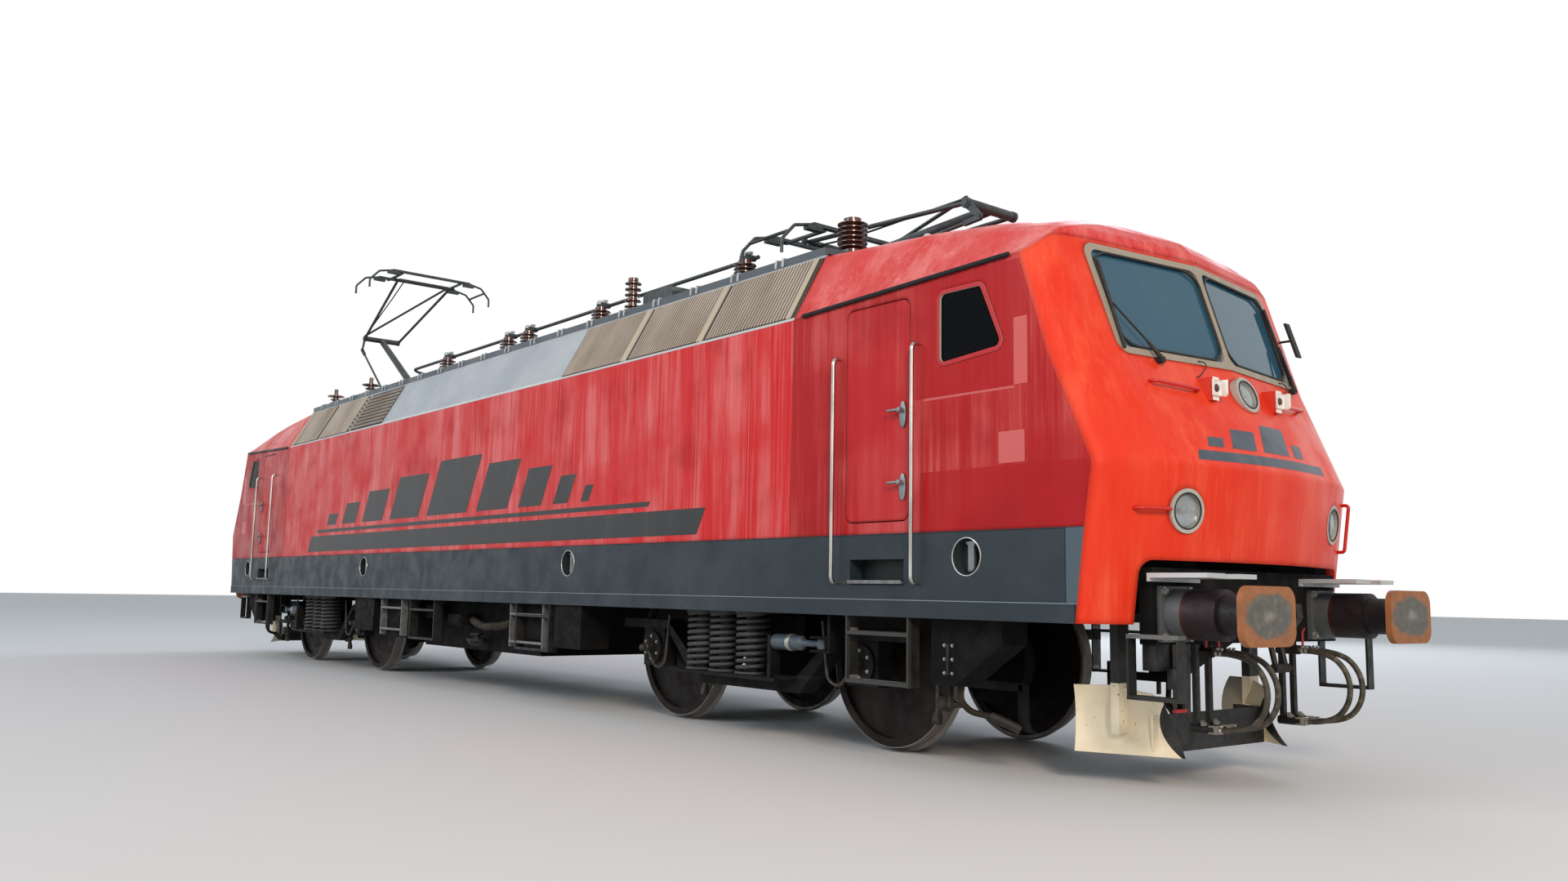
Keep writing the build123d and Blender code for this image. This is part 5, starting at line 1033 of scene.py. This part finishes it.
def nose_bar(y0, y1, z0, z1, end):
    """A sheet across the nose, leaning along Y, laid on the cab front of one end."""
    bar = primitive("plane", "bar", size=((z1 - z0) / 2, (y1 - y0) / 2, 1), turn=(0, quarter, 0),
                    at=(9.6, (y0 + y1) / 2, (z0 + z1) / 2))
    only(bar)
    bpy.ops.object.mode_set(mode="EDIT")
    bpy.ops.mesh.select_all(action="SELECT")
    bpy.ops.mesh.subdivide(number_cuts=11)
    bpy.ops.object.mode_set(mode="OBJECT")
    for vertex in bar.data.vertices:
        vertex.co.y += film_lean * (vertex.co.z - z0)
    if end < 0:
        bar.data.transform(shift(0, 0, 0, math.pi))
    return modifier(bar, "SHRINKWRAP", target=nodes["cab_fronts"], wrap_method="PROJECT", use_project_x=True,
                    use_project_y=False, use_project_z=False, use_negative_direction=True,
                    use_positive_direction=True, offset=0.0015)


bars = joined([nose_bar(*row, end) for row in nose_bars for end in (1, -1)], "nose_design")
dressed(bars, slate_film)

# %% [markdown]
# ## Along the roof's edge
# Pairs of small angle clips hold the roof panels down along both deck edges. Each clip is a cube whose top
# is drawn inwards, so that it hooks over the edge. The insulators carry a cast clamp that grips the bus bar.

# %% Roof clips
# Hot-dip galvanised, so pale, dull and a little blotchy
clip_metal = dusty_paint("galvanised_roof_clip", "#AEB4B6", "#80878A", "#7A6A5A", 0.45, 0.4, 0.04, 0.4)
first_clip_x = -5.70
clip_pitch = 0.62
clip_gap = 0.09
clip_rows = 19
clip = block("clip", (0.013, 0.006, 0.022), (0, -1.1655, 3.868), None, to_top,
             (("extrude", (0, 0.006, 0.026)), ("extrude", (0, 0.004, 0.008))))
shaped(clip, lambda centre, normal: normal.y > 0.5 and centre.z > 3.9, ("extrude", (0, 0.035, 0.002)))
clip_places = [shift(first_clip_x + row * clip_pitch + nudge, 0, 0) for row in range(clip_rows)
               for nudge in (0.0, clip_gap)]
placed(rounded(clip, 0.002, 1), both_ends(clip_places), "roof_clips", clip_metal)

# %% Bus bar clamps
insulator_xs = (-1.923, -0.165, 0.357, 2.003, 4.551)
clamp = primitive("cylinder", "clamp", vertices=20, radius=0.05, depth=0.03, at=(0, -0.80, 4.222))
shaped(clamp, to_top, ("inset", 0.012), ("extrude", (0, 0, 0.012)))
ear = block("ear", (0.045, 0.022, 0.012), (0, -0.765, 4.25), (0.004, 2))
placed(joined([clamp, ear], "clamp"), [shift(x, 0, 0) for x in insulator_xs], "bus_bar_clamps", clip_metal)

# %% [markdown]
# ## Headlamps
# A headlamp is a pale cast ring with a rubber gasket, a pressed bright reflector and a domed clear glass.
# The reflector is a bowl and the glass a thin dome, both turned about the lamp's own axis. They replace the
# plain discs of the CAD model, and a small frosted bulb sits in the bowl.

# %% Lamp finishes
# A vacuum coating mirrors like chrome, and frosted glass is milky
reflector_metal = clouded("vacuum_coated_reflector", [(0.3, "#C9CBC8"), (0.7, "#EDEDEA")], 0.02, 3,
                          Metallic=1.0, Roughness=0.18)[0]
bulb_glass = clouded("frosted_bulb_glass", [(0.4, "#F4F2EA"), (0.7, "#DAD7CC")], 0.02, 2, Roughness=0.35,
                     Transmission_Weight=0.4)[0]

# %% Turn the lamps
# Centre, direction and outer diameter, as in the CAD source
lamp_places = [((9.083, -0.879, 1.695), (1, -0.2, -0.1), 0.270),
               ((9.083, 0.879, 1.695), (1, 0.2, -0.1), 0.270),
               ((8.987, 0.0, 2.506), (1, 0, 0.3), 0.250)]
lamp_ring_width = 0.030
# Distance along the lamp's axis, and radius as a share of the ring's inner radius
bowl_profile = [(-0.0390, 0.985), (-0.0385, 0.97), (-0.0100, 0.985), (-0.0120, 0.93), (-0.0250, 0.70),
                (-0.0330, 0.40), (-0.0350, 0.12)]
dome_profile = [(-0.0085, 0.985), (-0.0040, 0.985), (0.0030, 0.85), (0.0080, 0.60), (0.0110, 0.30),
                (0.0115, 0.02)]
bulb_profile = [(-0.0345, 0.10), (-0.026, 0.16), (-0.018, 0.18), (-0.012, 0.13), (-0.010, 0.03)]


def in_the_lamps(name, make, material, smooth):
    """Makes a part about the X axis for each lamp's inner radius, and puts it into the lamps of both ends."""
    pieces = []
    for centre, direction, diameter in lamp_places:
        one = make(diameter / 2 - lamp_ring_width)
        turned = Vector(direction).normalized().to_track_quat("X", "Z").to_matrix().to_4x4()
        one.data.transform(Matrix.Translation(centre) @ turned)
        pieces.append(one)
    return placed(joined(pieces, name), at_both_ends, name, material, smooth=smooth)


for part_name, profile, finish in (("lamp_reflectors", bowl_profile, reflector_metal),
                                   ("lamp_glasses", dome_profile, lamp_glass),
                                   ("lamp_bulbs", bulb_profile, bulb_glass)):
    made = in_the_lamps(part_name, lambda inner: turned_part(
        [(x, share * inner) for x, share in profile], segments=36), finish, 40)
    if part_name == "lamp_glasses":
        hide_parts("lamp_lenses")
in_the_lamps("lamp_gaskets", lambda inner: primitive(
    "torus", "gasket", turn=(0, quarter, 0), major_radius=inner + 0.003, minor_radius=0.005,
    major_segments=44, minor_segments=8, at=(0.018, 0, 0)), black_rubber, 35)

# %% [markdown]
# ## The buffer beam
# Steel clips hold each brake hose on its cock, and each cock has a red lever. A hose ends low down in a cast
# coupling head. Flat bars, a jumper socket with a red catch and a cable box hang beside them. They are small
# castings and folded plates, so they start as cubes and cylinders that are extruded, inset and bevelled.

# %% Hose fittings
# Bright steel clips, rough cast iron and glossy red levers catch the eye among black fittings
clamp_steel = dusty_paint("bright_hose_clip_steel", "#C9C7C0", "#8F8C84", "#7A6A55", 0.35, 0.35, 0.02, 0.85)
cast_iron = dusty_paint("grey_cast_coupling_head", "#8A857A", "#4A453C", "#6B5240", 0.5, 0.45, 0.03, 0.4)
red_lever_paint = dusty_paint("red_lever_enamel", "#A01816", "#6B1A17", "#3C1A16", 0.45, 0.35, 0.03)
at_hoses = both_ends([shift(0, side * half_spacing, 0) for side in (1, -1)
                      for half_spacing, reach, length in hose_kinds])


def clip_ring(x, z):
    """A hose clip with its screw on top."""
    ring = primitive("cylinder", "ring", vertices=20, radius=0.0205, depth=0.016, turn=(0, quarter, 0),
                     at=(x, 0, z))
    return shaped(ring, lambda centre, normal: normal.z > 0.9 and abs(centre.x - x) < 0.004,
                  ("extrude", (0, 0, 0.010)))


clip_spots = ((9.085, hose_top), (9.112, hose_top), (9.100, hose_bottom))
clips = joined([clip_ring(x, z) for x, z in clip_spots], "clips")
coupling_head = block("head", (0.032, 0.024, 0.026), (9.055, 0, hose_bottom), (0.006, 2), to_back,
                      (("inset", 0.008), ("extrude", (-0.030, 0, 0.010)), ("scale", (1, 1.3, 1.4)),
                       ("extrude", (-0.022, 0, 0.018))))
lever = block("lever", (0.004, 0.011, 0.045), (9.010, 0, 0.918), (0.002, 1), to_top,
              [("extrude", (0.016, 0, 0.03))])
placed(clips, at_hoses, "hose_clips", clamp_steel)
placed(coupling_head, at_hoses, "hose_coupling_heads", cast_iron)
placed(lever, at_hoses, "cock_levers", red_lever_paint)

# %% Hanging bars, socket and cable box
# Black paint, chipped down to grey
worn_black = dusty_paint("chipped_black_fitting_paint", "#1A1B1B", "#3B3A37", "#6A6258", 0.5, 0.5, 0.03, 0.3)
bar_top = 0.90
# From y, to y, lower end
hanging_bars = ((-0.800, -0.740, 0.470), (-0.690, -0.650, 0.455))
fittings = [block("bar", (0.006, (y1 - y0) / 2, (bar_top - low) / 2),
                  (9.000, (y0 + y1) / 2, (bar_top + low) / 2), (0.002, 1), to_foot,
                  (("scale", (1, 0.6, 1)), ("extrude", (0, 0.01, -0.02)))) for y0, y1, low in hanging_bars]
# Socket, its hanger, the cable box and the socket's two arms
fittings += [
    block("socket", (0.035, 0.058, 0.060), (9.020, -0.905, 0.700), (0.004, 2), to_front,
          (("inset", 0.014), ("extrude", (-0.010, 0, 0)))),
    block("hanger", (0.005, 0.02, 0.07), (9.000, -0.905, 0.830), (0.001, 1)),
    block("cable_box", (0.05, 0.07, 0.085), (8.930, -0.985, 0.830), (0.004, 2), to_front,
          (("inset", 0.012), ("extrude", (0.008, 0, 0)))),
    block("arm", (0.010, 0.008, 0.065), (9.030, -0.955, 0.580), (0.002, 1)),
    block("arm", (0.010, 0.008, 0.065), (9.030, -0.855, 0.580), (0.002, 1))]
placed(joined(fittings, "fittings"), at_both_ends, "beam_fittings", worn_black)
catch = block("catch", (0.013, 0.060, 0.010), (9.030, -0.905, 0.515), (0.004, 2))
placed(catch, at_both_ends, "socket_catches", red_lever_paint)

# %% [markdown]
# ## Under the sill
# Between the bogies hang a step box, a filter box, a hose as thick as an arm and a round valve. A sand pipe
# with a rubber end leads from each sand box towards the wheel. Electrical conduits run down to the axle
# boxes. Boxes start as cubes with inset lids, round parts are turned, and pipes are bent curves.

# %% Boxes and their treads
# Boots keep the edges of the treads bare
step_steel = dusty_paint("worn_step_edge_steel", "#8B8E8F", "#55544F", "#6A5544", 0.45, 0.5, 0.03, 0.6)
box_rear_y = -1.085
# From x, to x, outer y, from z, to z
box_rows = ((-2.20, -1.25, -1.36, 0.54, 1.010), (1.54, 2.16, -1.36, 0.62, 1.010),
            (-1.02, -0.80, -1.30, 0.80, 0.95), (-0.32, 0.02, -1.33, 0.74, 0.86))
boxes = [block("box", ((x1 - x0) / 2, (box_rear_y - y0) / 2, (z1 - z0) / 2),
               ((x0 + x1) / 2, (y0 + box_rear_y) / 2, (z0 + z1) / 2), (0.004, 2), to_side,
               (("inset", 0.03), ("extrude", (0, -0.012, 0)))) for x0, x1, y0, z0, z1 in box_rows]
placed(joined(boxes, "boxes"), at_both_ends, "underfloor_boxes", frame_paint)
treads = []
for x0, x1, heights in ((-2.05, -1.40, (0.90, 0.64)), (1.50, 2.20, (0.90, 0.62))):
    treads += [block("tread", ((x1 - x0) / 2, 0.045, 0.010), ((x0 + x1) / 2, -1.415, z), (0.002, 1), to_side,
                     [("extrude", (0, -0.004, 0.008))]) for z in heights]
    treads += [block("cheek", (0.006, 0.045, 0.22), (x, -1.412, 0.79), (0.002, 1)) for x in (x0, x1)]
placed(joined(treads, "treads"), at_both_ends, "side_step_treads", step_steel)

# %% Valve and thick hose
# Rubber under brown dust, without gloss
rubber_pipe = dusty_paint("dusty_brown_rubber_pipe", "#2A251E", "#4A4236", "#3A3026", 0.7, 0.6, 0.05,
                          specular=0.2)
thick_hose = tube("thick_hose", [(0.08, -1.20, 0.80), (0.30, -1.28, 0.79), (0.55, -1.30, 0.74),
                                 (0.95, -1.28, 0.76), (1.20, -1.20, 0.82), (1.28, -1.09, 0.83)], 0.042, 0.15)
valve_profile = [(0.0, 0.03), (0.0, 0.075), (0.02, 0.075), (0.02, 0.035), (0.06, 0.035), (0.06, 0.11),
                 (0.085, 0.11), (0.12, 0.085), (0.135, 0.05), (0.14, 0.02)]
valve = turned_part(valve_profile, shift(0.24, -1.22, 0.66, quarter, "Y"))
placed(valve, at_both_ends, "round_valve", worn_black)
placed(thick_hose, at_both_ends, "thick_hoses", rubber_pipe)

# %% Sand pipes
pipe_parts = []
nozzles = []
for side in (1, -1):
    y = side * -1.20
    pipe_parts += [block("bracket", (0.010, 0.02, 0.08), (7.475, y, 0.500), (0.002, 1)),
                   tube("sand_pipe", [(7.565, y, 0.600), (7.565, y, 0.470), (7.600, y * 0.95, 0.400),
                                      (7.680, y * 0.85, 0.370)], 0.022)]
    nozzles.append(tube("nozzle", [(7.670, side * -1.025, 0.372), (7.760, side * -0.960, 0.330),
                                   (7.820, side * -0.900, 0.290)], 0.034))
placed(joined(pipe_parts, "pipes"), at_both_ends, "sand_pipes", rubber_pipe)
placed(joined(nozzles, "nozzles"), at_both_ends, "sand_nozzles", black_rubber)

# %% Lid straps on the sand boxes
at_corners = both_ends([Matrix.Identity(4), mirror_y])
strap_x = 7.603
strap_z = 0.750
strap = block("strap", (0.012, 0.004, 0.10), (strap_x, -1.3645, strap_z), None, to_side,
              (("inset", 0.004), ("extrude", (0, -0.003, 0))))
placed(strap, at_corners, "sand_box_straps", worn_black)
strap_bolts = [corner @ shift(strap_x + dx, -1.3605, strap_z + dz, -quarter) for corner in at_corners
               for dz in (-0.09, 0.0, 0.09) for dx in (-0.035, 0.035)]
placed(bolt(0.016), strap_bolts, "sand_box_bolts", bolt_steel)

# %% Axle box conduits
# A sheath under dust, rubbed pale in places
conduit_paint = dusty_paint("worn_flexible_conduit", "#2B2925", "#55504A", "#7A6A55", 0.5, 0.5, 0.02, 0.3)
sensor_profile = [(0.0, 0.038), (0.06, 0.038), (0.07, 0.03), (0.11, 0.03), (0.12, 0.018)]
for number, end in vehicle_ends:
    conduits = []
    for side in (1, -1):
        y = side * -1.185
        for axle_x, away in zip(axle_xs, (1, -1)):
            conduits.append(tube("conduit", [
                (end * axle_x, side * -1.150, axle_z), (end * axle_x, y, axle_z),
                (end * (axle_x + away * 0.16), y, 0.475), (end * (axle_x + away * 0.30), y, 0.520),
                (end * (axle_x + away * 0.36), y, 0.960)], 0.013, 0.08))
            sensor_place = shift(end * axle_x, side * -1.138, axle_z, side * -quarter)
            conduits.append(turned_part(sensor_profile, sensor_place, 20))
    dressed(joined(conduits, "axle_conduits_%d" % number), conduit_paint, "bogie_%d" % number)

# %% [markdown]
# ## Around the windscreens
# The panes are held by a black rubber gasket inside the pale frame. Below them hangs a pair of wire hooks.
# The gasket is a tube that follows the folded front, whose surface is worked out from the same three rows of
# points as in the CAD model.

# %% Gaskets and hooks
# Height, x of the flat at its half width, x of the nose at y 0
front_rows = [(1.970, 9.080, 9.245), (2.675, 8.755, 8.890), (3.490, 8.484, 8.625)]
flat_half_width = 1.060


def on_front(y, z, lift):
    """The point of the folded front at y and z, lifted off it along X."""
    for (low, flat_low, nose_low), (high, flat_high, nose_high) in zip(front_rows, front_rows[1:]):
        if z <= high:
            share = (z - low) / (high - low)
            flat = flat_low + share * (flat_high - flat_low)
            nose = nose_low + share * (nose_high - nose_low)
            return (nose - (nose - flat) * abs(y) / flat_half_width + lift, y, z)


pane_low, pane_high = 2.745, 3.395
pane_corners = [(0.036, pane_low), (0.985, pane_low), (1.023, pane_high), (0.036, pane_high)]
gaskets = []
for side in (1, -1):
    outline = []
    for (y0, z0), (y1, z1) in zip(pane_corners, pane_corners[1:] + pane_corners[:1]):
        for share in (0.1, 0.5, 0.9):
            outline.append(on_front(side * (y0 + share * (y1 - y0)), z0 + share * (z1 - z0), 0.004))
    gaskets.append(tube("gasket", outline + outline[:1], 0.009, 0.05))
placed(joined(gaskets, "gaskets"), at_both_ends, "pane_gaskets", black_rubber)
hook_route = ((0, 2.715, 0.005), (0.01, 2.705, 0.040), (0, 2.670, 0.055), (-0.07, 2.600, 0.020),
              (-0.09, 2.590, 0.004))
hooks = [tube("hook", [on_front(y + dy, z, lift) for dy, z, lift in hook_route], 0.004, 0.02)
         for y in (-0.32, 0.80)]
placed(joined(hooks, "hooks"), at_both_ends, "wire_hooks", worn_black)

# %% Tail-lamp faces
# Glossy white enamel round a deep red glass
tail_white = dusty_paint("white_tail_lamp_enamel", "#EDEBE4", "#BDB8AB", "#8C7A66", 0.4, 0.3, 0.02)
tail_red_glass = clear_glass("dark_red_tail_glass", "#5A0E0C", 0.08, 0.3)
at_tail_lamps = both_ends([shift(0, y, 0) for y in (-0.3865, 0.3865)])
face = block("face", (0.008, 0.047, 0.052), (9.013, 0, 2.510), (0.003, 2), to_front,
             (("inset", 0.007), ("extrude", (-0.006, 0, 0))))
flap = block("flap", (0.022, 0.004, 0.045), (9.042, 0.045, 2.518), (0.002, 2), to_foot,
             (("extrude", (0, 0, -0.012)), ("scale", (0.75, 1, 1)), ("extrude", (0, 0, -0.006)),
              ("scale", (0.5, 1, 1))))
hinge = primitive("cylinder", "hinge", vertices=12, radius=0.005, depth=0.08, at=(9.024, 0.046, 2.512))
shaped(hinge, top_or_foot, ("bevel", (0.002, 1)))
placed(joined([face, flap, hinge], "faces"), at_tail_lamps, "tail_lamp_faces", tail_white)
lens = turned_part([(0.0, 0.026), (0.006, 0.026), (0.012, 0.020), (0.015, 0.010), (0.016, 0.003)],
                   shift(9.012, -0.008, 2.508), 24)
placed(lens, at_tail_lamps, "tail_lamp_lenses", tail_red_glass)

# %% [markdown]
# ## Treads in the door recesses
# Below each door, a recess in the sill has a perforated steel tread, whose teeth are a row of small cones.

# %% Recess treads
tooth_count = 14
first_tooth_x = 6.785
tooth_row_length = 0.484
teeth = [block("tread", (0.268, 0.060, 0.006), (7.027, -1.440, 1.246), None, to_side,
               [("extrude", (0, -0.004, 0.012))])]
for index in range(tooth_count):
    tooth_x = first_tooth_x + index * tooth_row_length / (tooth_count - 1)
    tooth = primitive("cone", "tooth", vertices=8, radius1=0.008, radius2=0.005, depth=0.006,
                      at=(tooth_x, -1.470, 1.255))
    teeth.append(shaped(tooth, to_top, ("inset", 0.0015)))
placed(joined(teeth, "teeth"), at_corners, "recess_treads", step_steel)

# %% [markdown]
# ## Brake gear, lifeguards and roof fittings
# Beside each wheel hangs the brake gear, a cast hanger with a small cylinder. A bent plate in front of the
# leading wheel pushes stones aside. A short domed aerial stands on each cab roof.

# %% Brake gear
# Brake dust lies thickest here, so the paint reads brown
rigging_paint = dusty_paint("dusty_brake_rigging_paint", "#2A2723", "#5A5044", "#6B4C36", 0.6, 0.6, 0.03, 0.3)
cylinder_profile = [(0.0, 0.03), (0.02, 0.055), (0.10, 0.055), (0.115, 0.04), (0.16, 0.022), (0.20, 0.022)]
for number, end in vehicle_ends:
    turn = 0.0 if end > 0 else math.pi
    gear = []
    for y in (-0.99, 0.99):
        for axle_x in axle_xs:
            hanger = block("hanger", (0.016, 0.02, 0.15), (end * (axle_x + 0.665), y, 0.52), (0.006, 2),
                           to_foot, (("extrude", (end * -0.015, 0, -0.05)), ("scale", (1.9, 1.3, 1)),
                                     ("extrude", (0, 0, -0.05))))
            cylinder = turned_part(cylinder_profile, shift(end * (axle_x + 0.67), y, 0.42, turn), 20)
            gear += [hanger, cylinder]
    dressed(joined(gear, "brake_gear_%d" % number), rigging_paint, "bogie_%d" % number)

# %% Lifeguards
for number, turn in ((1, 0.0), (2, math.pi)):
    plate = block("plate", (0.040, 0.012, 0.115), (7.850, -0.900, 0.475), (0.003, 2), to_foot,
                  (("extrude", (0.03, 0, -0.06)), ("extrude", (0.05, 0, -0.02))))
    arm = block("arm", (0.32, 0.012, 0.03), (7.53, -0.900, 0.570), (0.004, 2))
    both_sides = [shift(0, 0, 0, turn), shift(0, 0, 0, turn) @ mirror_y]
    placed(joined([plate, arm], "lifeguard"), both_sides, "lifeguards_%d" % number, bogie_paint,
           "bogie_%d" % number)

# %% Roof aerials
# Moulded plastic, pale and even
aerial_paint = dusty_paint("pale_grey_aerial_plastic", "#C9C8C2", "#9A978E", "#8A8378", 0.5, 0.4, 0.02)
aerial_x, aerial_y = 6.86, -0.80
sunk = 0.004
# A ray sent down finds the skin of the cab roof
above_roof = Vector((aerial_x, aerial_y, 6.0))
found, skin, normal, face_index = nodes["cab_roofs"].ray_cast(above_roof, Vector((0, 0, -1)))
aerial_profile = [(0.0, 0.050), (0.012, 0.050), (0.016, 0.040), (0.050, 0.034), (0.064, 0.022),
                  (0.068, 0.006)]
aerial = turned_part(aerial_profile, shift(aerial_x, aerial_y, skin.z - sunk, -quarter, "Y"), 24)
placed(aerial, at_both_ends, "roof_aerials", aerial_paint)
print("aerials stand at", round(skin.z, 3))

# %% Posts beside the far pantograph
# Two more porcelain posts stand beside the raised pantograph. Each is turned: narrow sheds, one wide shed
# that keeps the rain off them, and a slender neck.
deck_z, neck_radius, core_radius, shed_radius, cap_radius = 3.9275, 0.030, 0.046, 0.084, 0.127
post_profile = [(0.0, shed_radius), (0.012, shed_radius), (0.013, core_radius)]
for shed_low in (0.045, 0.095, 0.145):
    post_profile += [(shed_low, core_radius), (shed_low + 0.012, shed_radius),
                     (shed_low + 0.022, shed_radius), (shed_low + 0.034, core_radius)]
post_profile += [(0.205, core_radius), (0.210, cap_radius), (0.224, cap_radius), (0.240, core_radius),
                 (0.250, neck_radius), (0.328, neck_radius), (0.333, neck_radius * 0.7)]
placed(turned_part(post_profile, shift(0, 0, 0, -quarter, "Y"), 32),
       [shift(x, -0.800, deck_z) for x in (-4.655, -6.150)], "far_roof_posts", porcelain)

# %% [markdown]
# ## Seats
# Each cab has two seats, whose foam pads are covered in woven cloth. A pad is a box that a voxel remesh
# turns into an even skin. Cloth with air pressure then swells it, so the faces crown and the sides pull in.
# Two sewn channels cross each pad, pressed in after the cloth has run. One seat pad and one back pad are
# made, and the rest are copies.

# %% Foam pads
voxel = 0.007
swell_cap = 0.018
cloth_frames = 20
channel_depth = 0.007
channel_half_width = 0.022
channel_share = 0.33


def foam_pad(name, size, thin_axis):
    """A pad about the origin. thin_axis is the axis that its faces look along, 0 or 2."""
    pad = primitive("cube", name, size=[half - 0.010 for half in size])
    rounded(pad, 0.018, 3)
    modifier(pad, "REMESH", mode="VOXEL", voxel_size=voxel)
    start = [point.co.copy() for point in pad.data.vertices]
    cloth = pad.modifiers.new("cloth", "CLOTH")
    cloth.settings.use_pressure = True
    cloth.settings.uniform_pressure_force = 4.0
    cloth.settings.effector_weights.gravity = 0.0
    for number in range(1, cloth_frames + 1):
        bpy.context.scene.frame_set(number)
    swollen = pad.evaluated_get(bpy.context.evaluated_depsgraph_get())
    ends = [point.co.copy() for point in swollen.data.vertices]
    pad.modifiers.clear()
    bpy.context.scene.frame_set(1)
    for point, first, last in zip(pad.data.vertices, start, ends):
        move = last - first
        point.co = first + move * min(1.0, swell_cap / max(move.length, 1e-6))
    long_axis = 2 - thin_axis
    for point in pad.data.vertices:
        for place in (-channel_share * size[long_axis], channel_share * size[long_axis]):
            near = max(0.0, 1.0 - abs(point.co[long_axis] - place) / channel_half_width)
            point.co[thin_axis] *= 1.0 - near * near * channel_depth / size[thin_axis]
    for axis in range(3):
        reach = max(abs(point.co[axis]) for point in pad.data.vertices)
        if reach > size[axis]:
            for point in pad.data.vertices:
                point.co[axis] *= size[axis] / reach
    return modifier(pad, "SUBSURF", levels=1, render_levels=1)


seat_x, seat_y = 7.72, 0.62
seat_places = [(end, side) for end in (1, -1) for side in (1, -1)]
for kind, size, thin_axis, offset_x, height in (("seat_pad", (0.225, 0.225, 0.047), 2, 0.010, 2.0176),
                                                ("back_pad", (0.0445, 0.215, 0.2875), 0, -0.190, 2.3575)):
    source = foam_pad(kind, size, thin_axis)
    for count, (end, side) in enumerate(seat_places, 1):
        matrix = shift(end * (seat_x + offset_x), side * seat_y, height, 0.0 if end > 0 else math.pi)
        one = duplicate(source, matrix, "%s_%d" % (kind, count))
        dressed(one, seat_cloth, smooth=80)
        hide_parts("seat_cushions")
    bpy.data.objects.remove(source)

# %% [markdown]
# ## Desk instruments
# Through the glass one sees a desk with dials, a screen hood and the driver's levers. The dials and levers
# are turned, and the panel and hood are extruded boxes.

# %% Desk instruments
# Matt plastic round pale dials, as a desk must not dazzle
instrument_paint = dusty_paint("matt_black_instrument_plastic", "#151617", "#232425", "#1C1D1E", 0.6, 0.3,
                               0.02)
dial_face = dusty_paint("ivory_dial_face", "#D8D4C4", "#BDB8A8", "#C9C4B4", 0.4, 0.2, 0.01)
# The desk top rises from its rear edge towards the windscreen
desk_rear = (8.180, -seat_y, 2.320)
slope = math.atan2(0.190, 0.520)
on_desk = shift(*desk_rear, -slope, "Y")
panel = block("panel", (0.12, 0.30, 0.022), (0.30, 0, 0.020), (0.003, 2), to_top,
              (("inset", 0.010), ("extrude", (0, 0, -0.006))))
hood = block("hood", (0.010, 0.30, 0.045), (0.43, 0, 0.043), (0.003, 2), to_top,
             [("extrude", (-0.05, 0, 0.012))])
stick_profile = [(0.0, 0.026), (0.010, 0.026), (0.014, 0.007), (0.075, 0.007), (0.080, 0.015), (0.105, 0.017),
                 (0.115, 0.010)]
sticks = [turned_part(stick_profile, shift(0.14, y, -0.002, -quarter, "Y"), 20) for y in (-0.36, 0.36)]
instruments = joined([panel, hood] + sticks, "instruments")
placed(instruments, both_ends([on_desk]), "desk_instruments", instrument_paint)
dial = turned_part([(0.0, 0.040), (0.012, 0.040), (0.014, 0.036), (0.010, 0.034)])
dial_places = [on_desk @ shift(0.30, y, 0.034, -quarter, "Y") for y in (-0.22, -0.11, 0.0, 0.11, 0.22)]
placed(dial, both_ends(dial_places), "desk_dials", dial_face)
